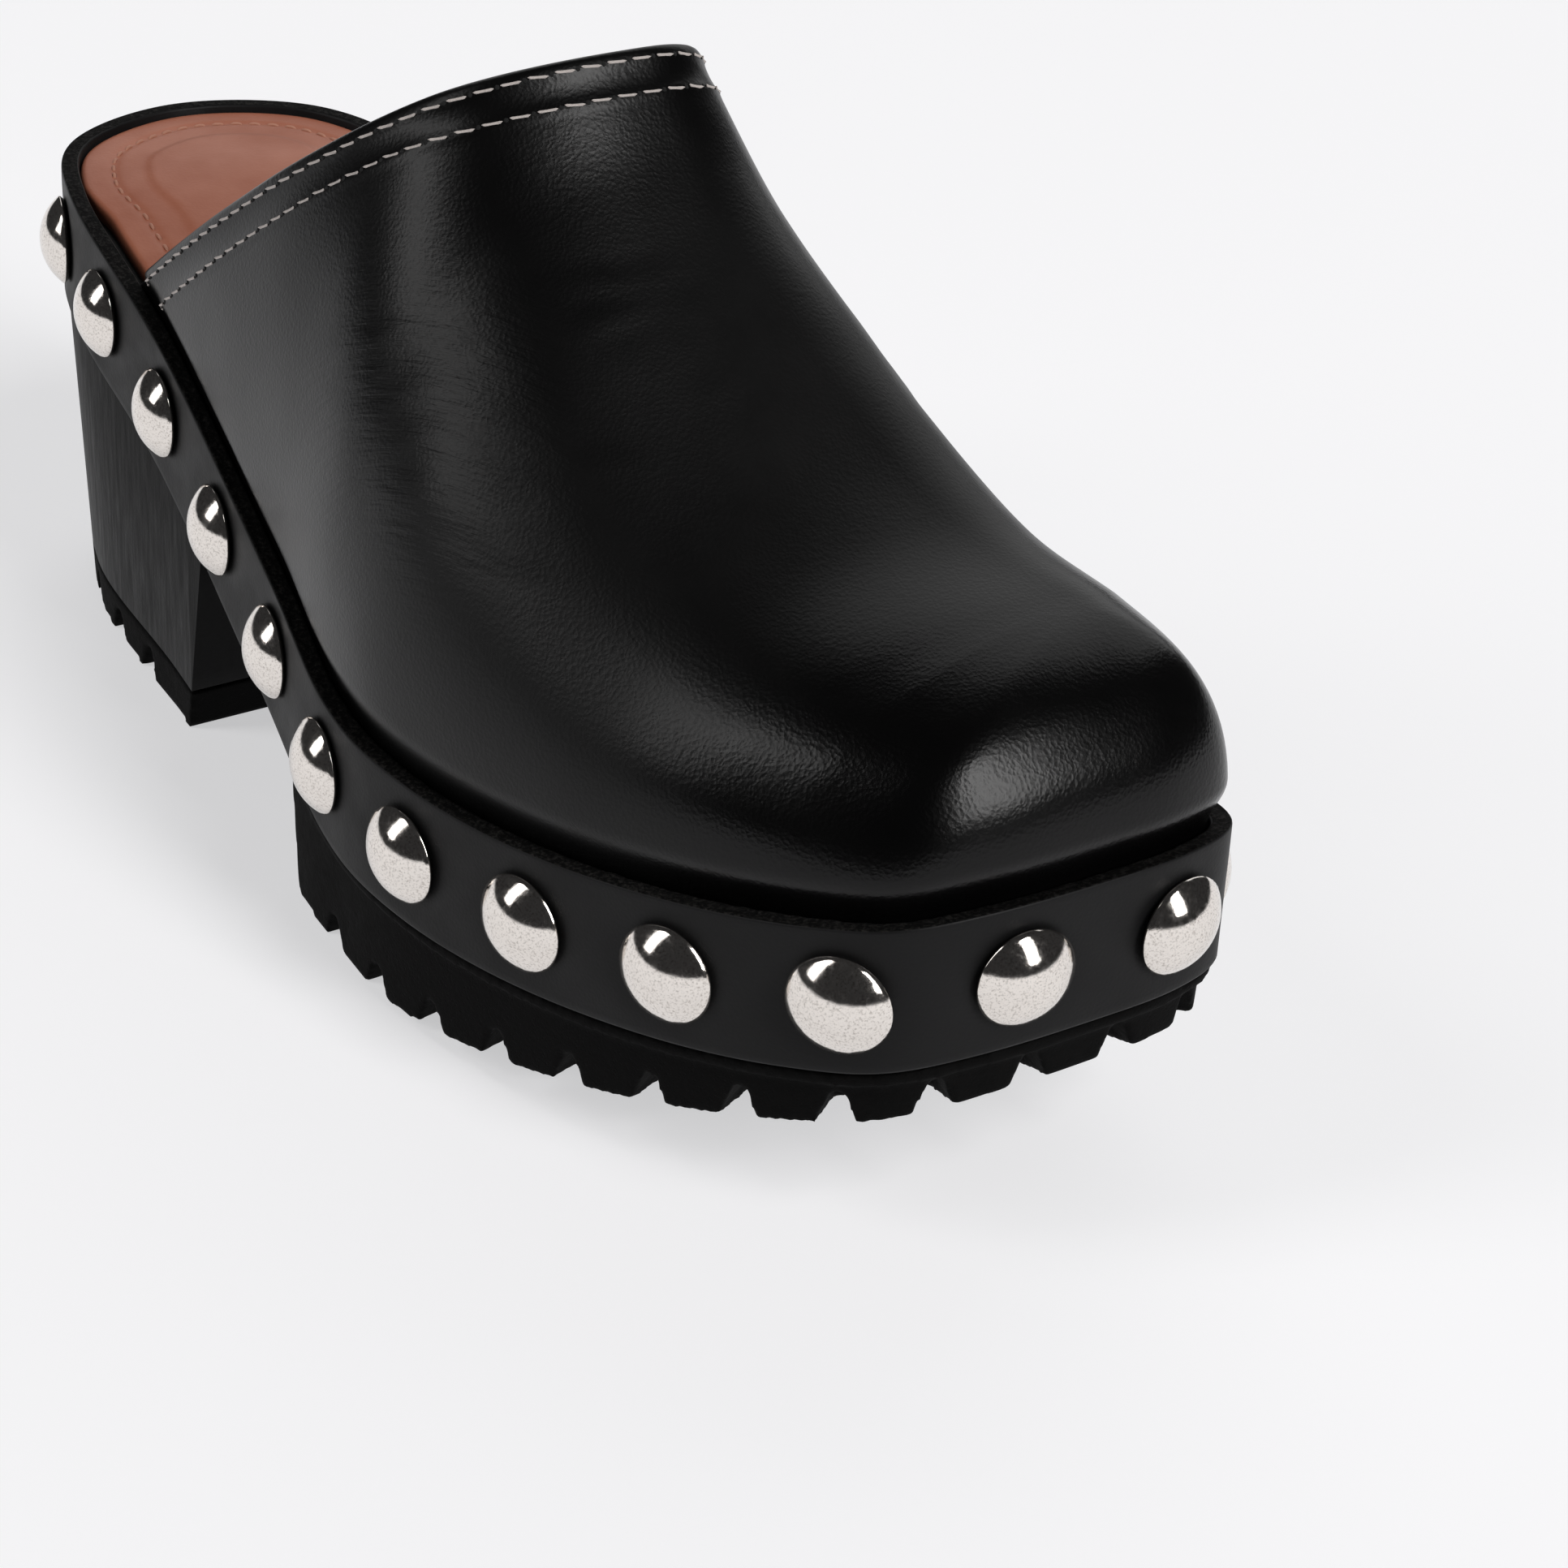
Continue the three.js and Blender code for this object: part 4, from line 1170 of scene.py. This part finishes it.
def heel_ring(drop, height_at):
    """A ring of the heel, its drop 0 under the band and 1 at the floor."""
    place, out = outline_at(ring_shares)
    moved = place - out * (HEEL_INSET - drop * HEEL_SIDE_FLARE)
    backward = np.maximum(1 - moved[:, 0] / (HEEL_BREAST * LENGTH), 0)
    moved[:, 0] += drop * (HEEL_BACK_LEAN + HEEL_SIDE_FLARE) * backward
    return raised(moved, height_at)


def heel_stack(name, *rings):
    """A closed stack of the heel's rings, cut off along its slanted breast."""
    made = new_object(stacked(name, *rings))
    breast_x = HEEL_BREAST * LENGTH
    foot = float(band_foot(breast_x))
    cut_along(made, (breast_x, 0, foot), (foot, 0, -HEEL_BREAST_LEAN))
    return made


lift_drop = 1 - LIFT_HEIGHT / float(band_foot(0))
block = heel_stack(
    "heel_block", heel_ring(lift_drop, LIFT_HEIGHT + CLEARANCE), heel_ring(0, sole_top),
)
cover = new_finish("covered_heel", (0.004, 0.004, 0.004), 0.5, Specular_IOR_Level=0.08)
cover_place = object_place(cover)
cover_streak = add_node(
    cover, "ShaderNodeMapping", ("Vector", cover_place), ("Scale", (1, 1, 0.12)),
).outputs["Vector"]
cover_lines = noise(cover, cover_streak, 1.2, 5, 0.65)
cover_grain = relief(cover, cells(cover, cover_place, 0.7), 0.05, 0.3)
wire(
    cover,
    Base_Color=blend_colours(cover, cover_lines, (0.0022, 0.0022, 0.0023), (0.0055, 0.0053, 0.0055)),
    Roughness=spread(cover, cover_lines, 0.3, 0.7, 0.42, 0.6),
    Normal=relief(cover, cover_lines, 0.12, 0.35, cover_grain),
)
stand_for(rounded(block, HEEL_ROUNDING), cover, "heel_block", "heel")

lift = heel_stack("notched_lift", heel_ring(1, 0.0), heel_ring(lift_drop, LIFT_HEIGHT))
lift_end = HEEL_BREAST * LENGTH - HEEL_BREAST_LEAN - NOTCH_MOUTH
carved(lift, notch_cutter(lambda x: HEEL_INSET - HEEL_SIDE_FLARE, lambda x: 0.0, 0, lift_end))
stand_for(moulded(lift, LIFT_PASSES), rubber, "tread_rubber", "heel_lift")

# Floor, light and camera
# A pale floor under two tall soft lights, one on each side of the shoe, and a dim one behind
# it, seen with a long lens from the little-toe side, above the toe.
scene = bpy.context.scene
scene.view_settings.view_transform = "Standard"
scene.view_settings.look = "None"

FLOOR_REACH, FLOOR_DROP = 3.0, 0.0002
floor_finish = new_finish(
    "pale_floor", (0.5, 0.5, 0.508), 0.9, Specular_IOR_Level=0.1,
    Emission_Color=(1, 1, 1.015, 1), Emission_Strength=0.53,
)
floor_corners = [
    (x * FLOOR_REACH, y * FLOOR_REACH, -FLOOR_DROP) for x, y in ((-1, -1), (1, -1), (1, 1), (-1, 1))
]
floor = plain_object("floor", floor_corners, [(0, 1, 2, 3)])
floor.data.materials.append(floor_finish)

# The room is dark to the shoe's reflections, and a pale backdrop where the floor ends
ROOM_GLOW, BACKDROP_GLOW = 0.03, 0.92
world = bpy.data.worlds.new("studio")
world.use_nodes = True
room = world.node_tree.nodes["Background"]
room.inputs["Color"].default_value = (0.98, 0.98, 1, 1)
seen = add_node(world, "ShaderNodeLightPath").outputs["Is Camera Ray"]
glow = spread(world, seen, 0, 1, ROOM_GLOW, BACKDROP_GLOW)
world.node_tree.links.new(glow, room.inputs["Strength"])
scene.world = world

# Each light: where it hangs in metres, its width and height, its power and its tint
LIGHT_AIM = (0.03, 0, 0.05)
LIGHTS = {
    "left": ((-1.7, -4.6, 3.5), (1.6, 4.8), 115, (1, 0.99, 0.985)),
    "right": ((4.7, 1.15, 3.7), (1.6, 4.6), 290, (1, 0.99, 0.985)),
    "behind": ((-3.5, 3.2, 3.2), (6.5, 5.5), 115, (1, 1, 1)),
}
for name, (place, (width, height), power, tint) in LIGHTS.items():
    lamp = bpy.data.lights.new(name, "AREA")
    lamp.shape = "RECTANGLE"
    lamp.size, lamp.size_y = width, height
    lamp.energy = power
    lamp.color = tint
    hung = bpy.data.objects.new(name, lamp)
    hung.location = place
    hung.rotation_euler = (Vector(LIGHT_AIM) - Vector(place)).to_track_quat("-Z", "Y").to_euler()
    scene.collection.objects.link(hung)

# The camera's place in the frame's millimetres, its turn in degrees and its lens
CAMERA_PLACE = (376.2, -203.7, 282.5)
CAMERA_AZIMUTH, CAMERA_ELEVATION, CAMERA_ROLL = (math.radians(a) for a in (55.84, 33.07, 4.09))
CAMERA_LENS, CAMERA_SENSOR, CAMERA_NEAREST = 69.86, 36, 0.01
lens = bpy.data.cameras.new("view")
lens.lens = CAMERA_LENS
lens.sensor_width = CAMERA_SENSOR
lens.clip_start = CAMERA_NEAREST
back = Vector((
    math.sin(CAMERA_AZIMUTH) * math.cos(CAMERA_ELEVATION),
    -math.cos(CAMERA_AZIMUTH) * math.cos(CAMERA_ELEVATION),
    math.sin(CAMERA_ELEVATION),
))
level = Vector((math.cos(CAMERA_AZIMUTH), math.sin(CAMERA_AZIMUTH), 0))
upward = back.cross(level)
right = level * math.cos(CAMERA_ROLL) + upward * math.sin(CAMERA_ROLL)
up = upward * math.cos(CAMERA_ROLL) - level * math.sin(CAMERA_ROLL)
camera = bpy.data.objects.new("view", lens)
camera.matrix_world = (
    Matrix.Translation(Vector(CAMERA_PLACE) * MM) @ Matrix((right, up, back)).transposed().to_4x4()
)
scene.collection.objects.link(camera)
scene.camera = camera
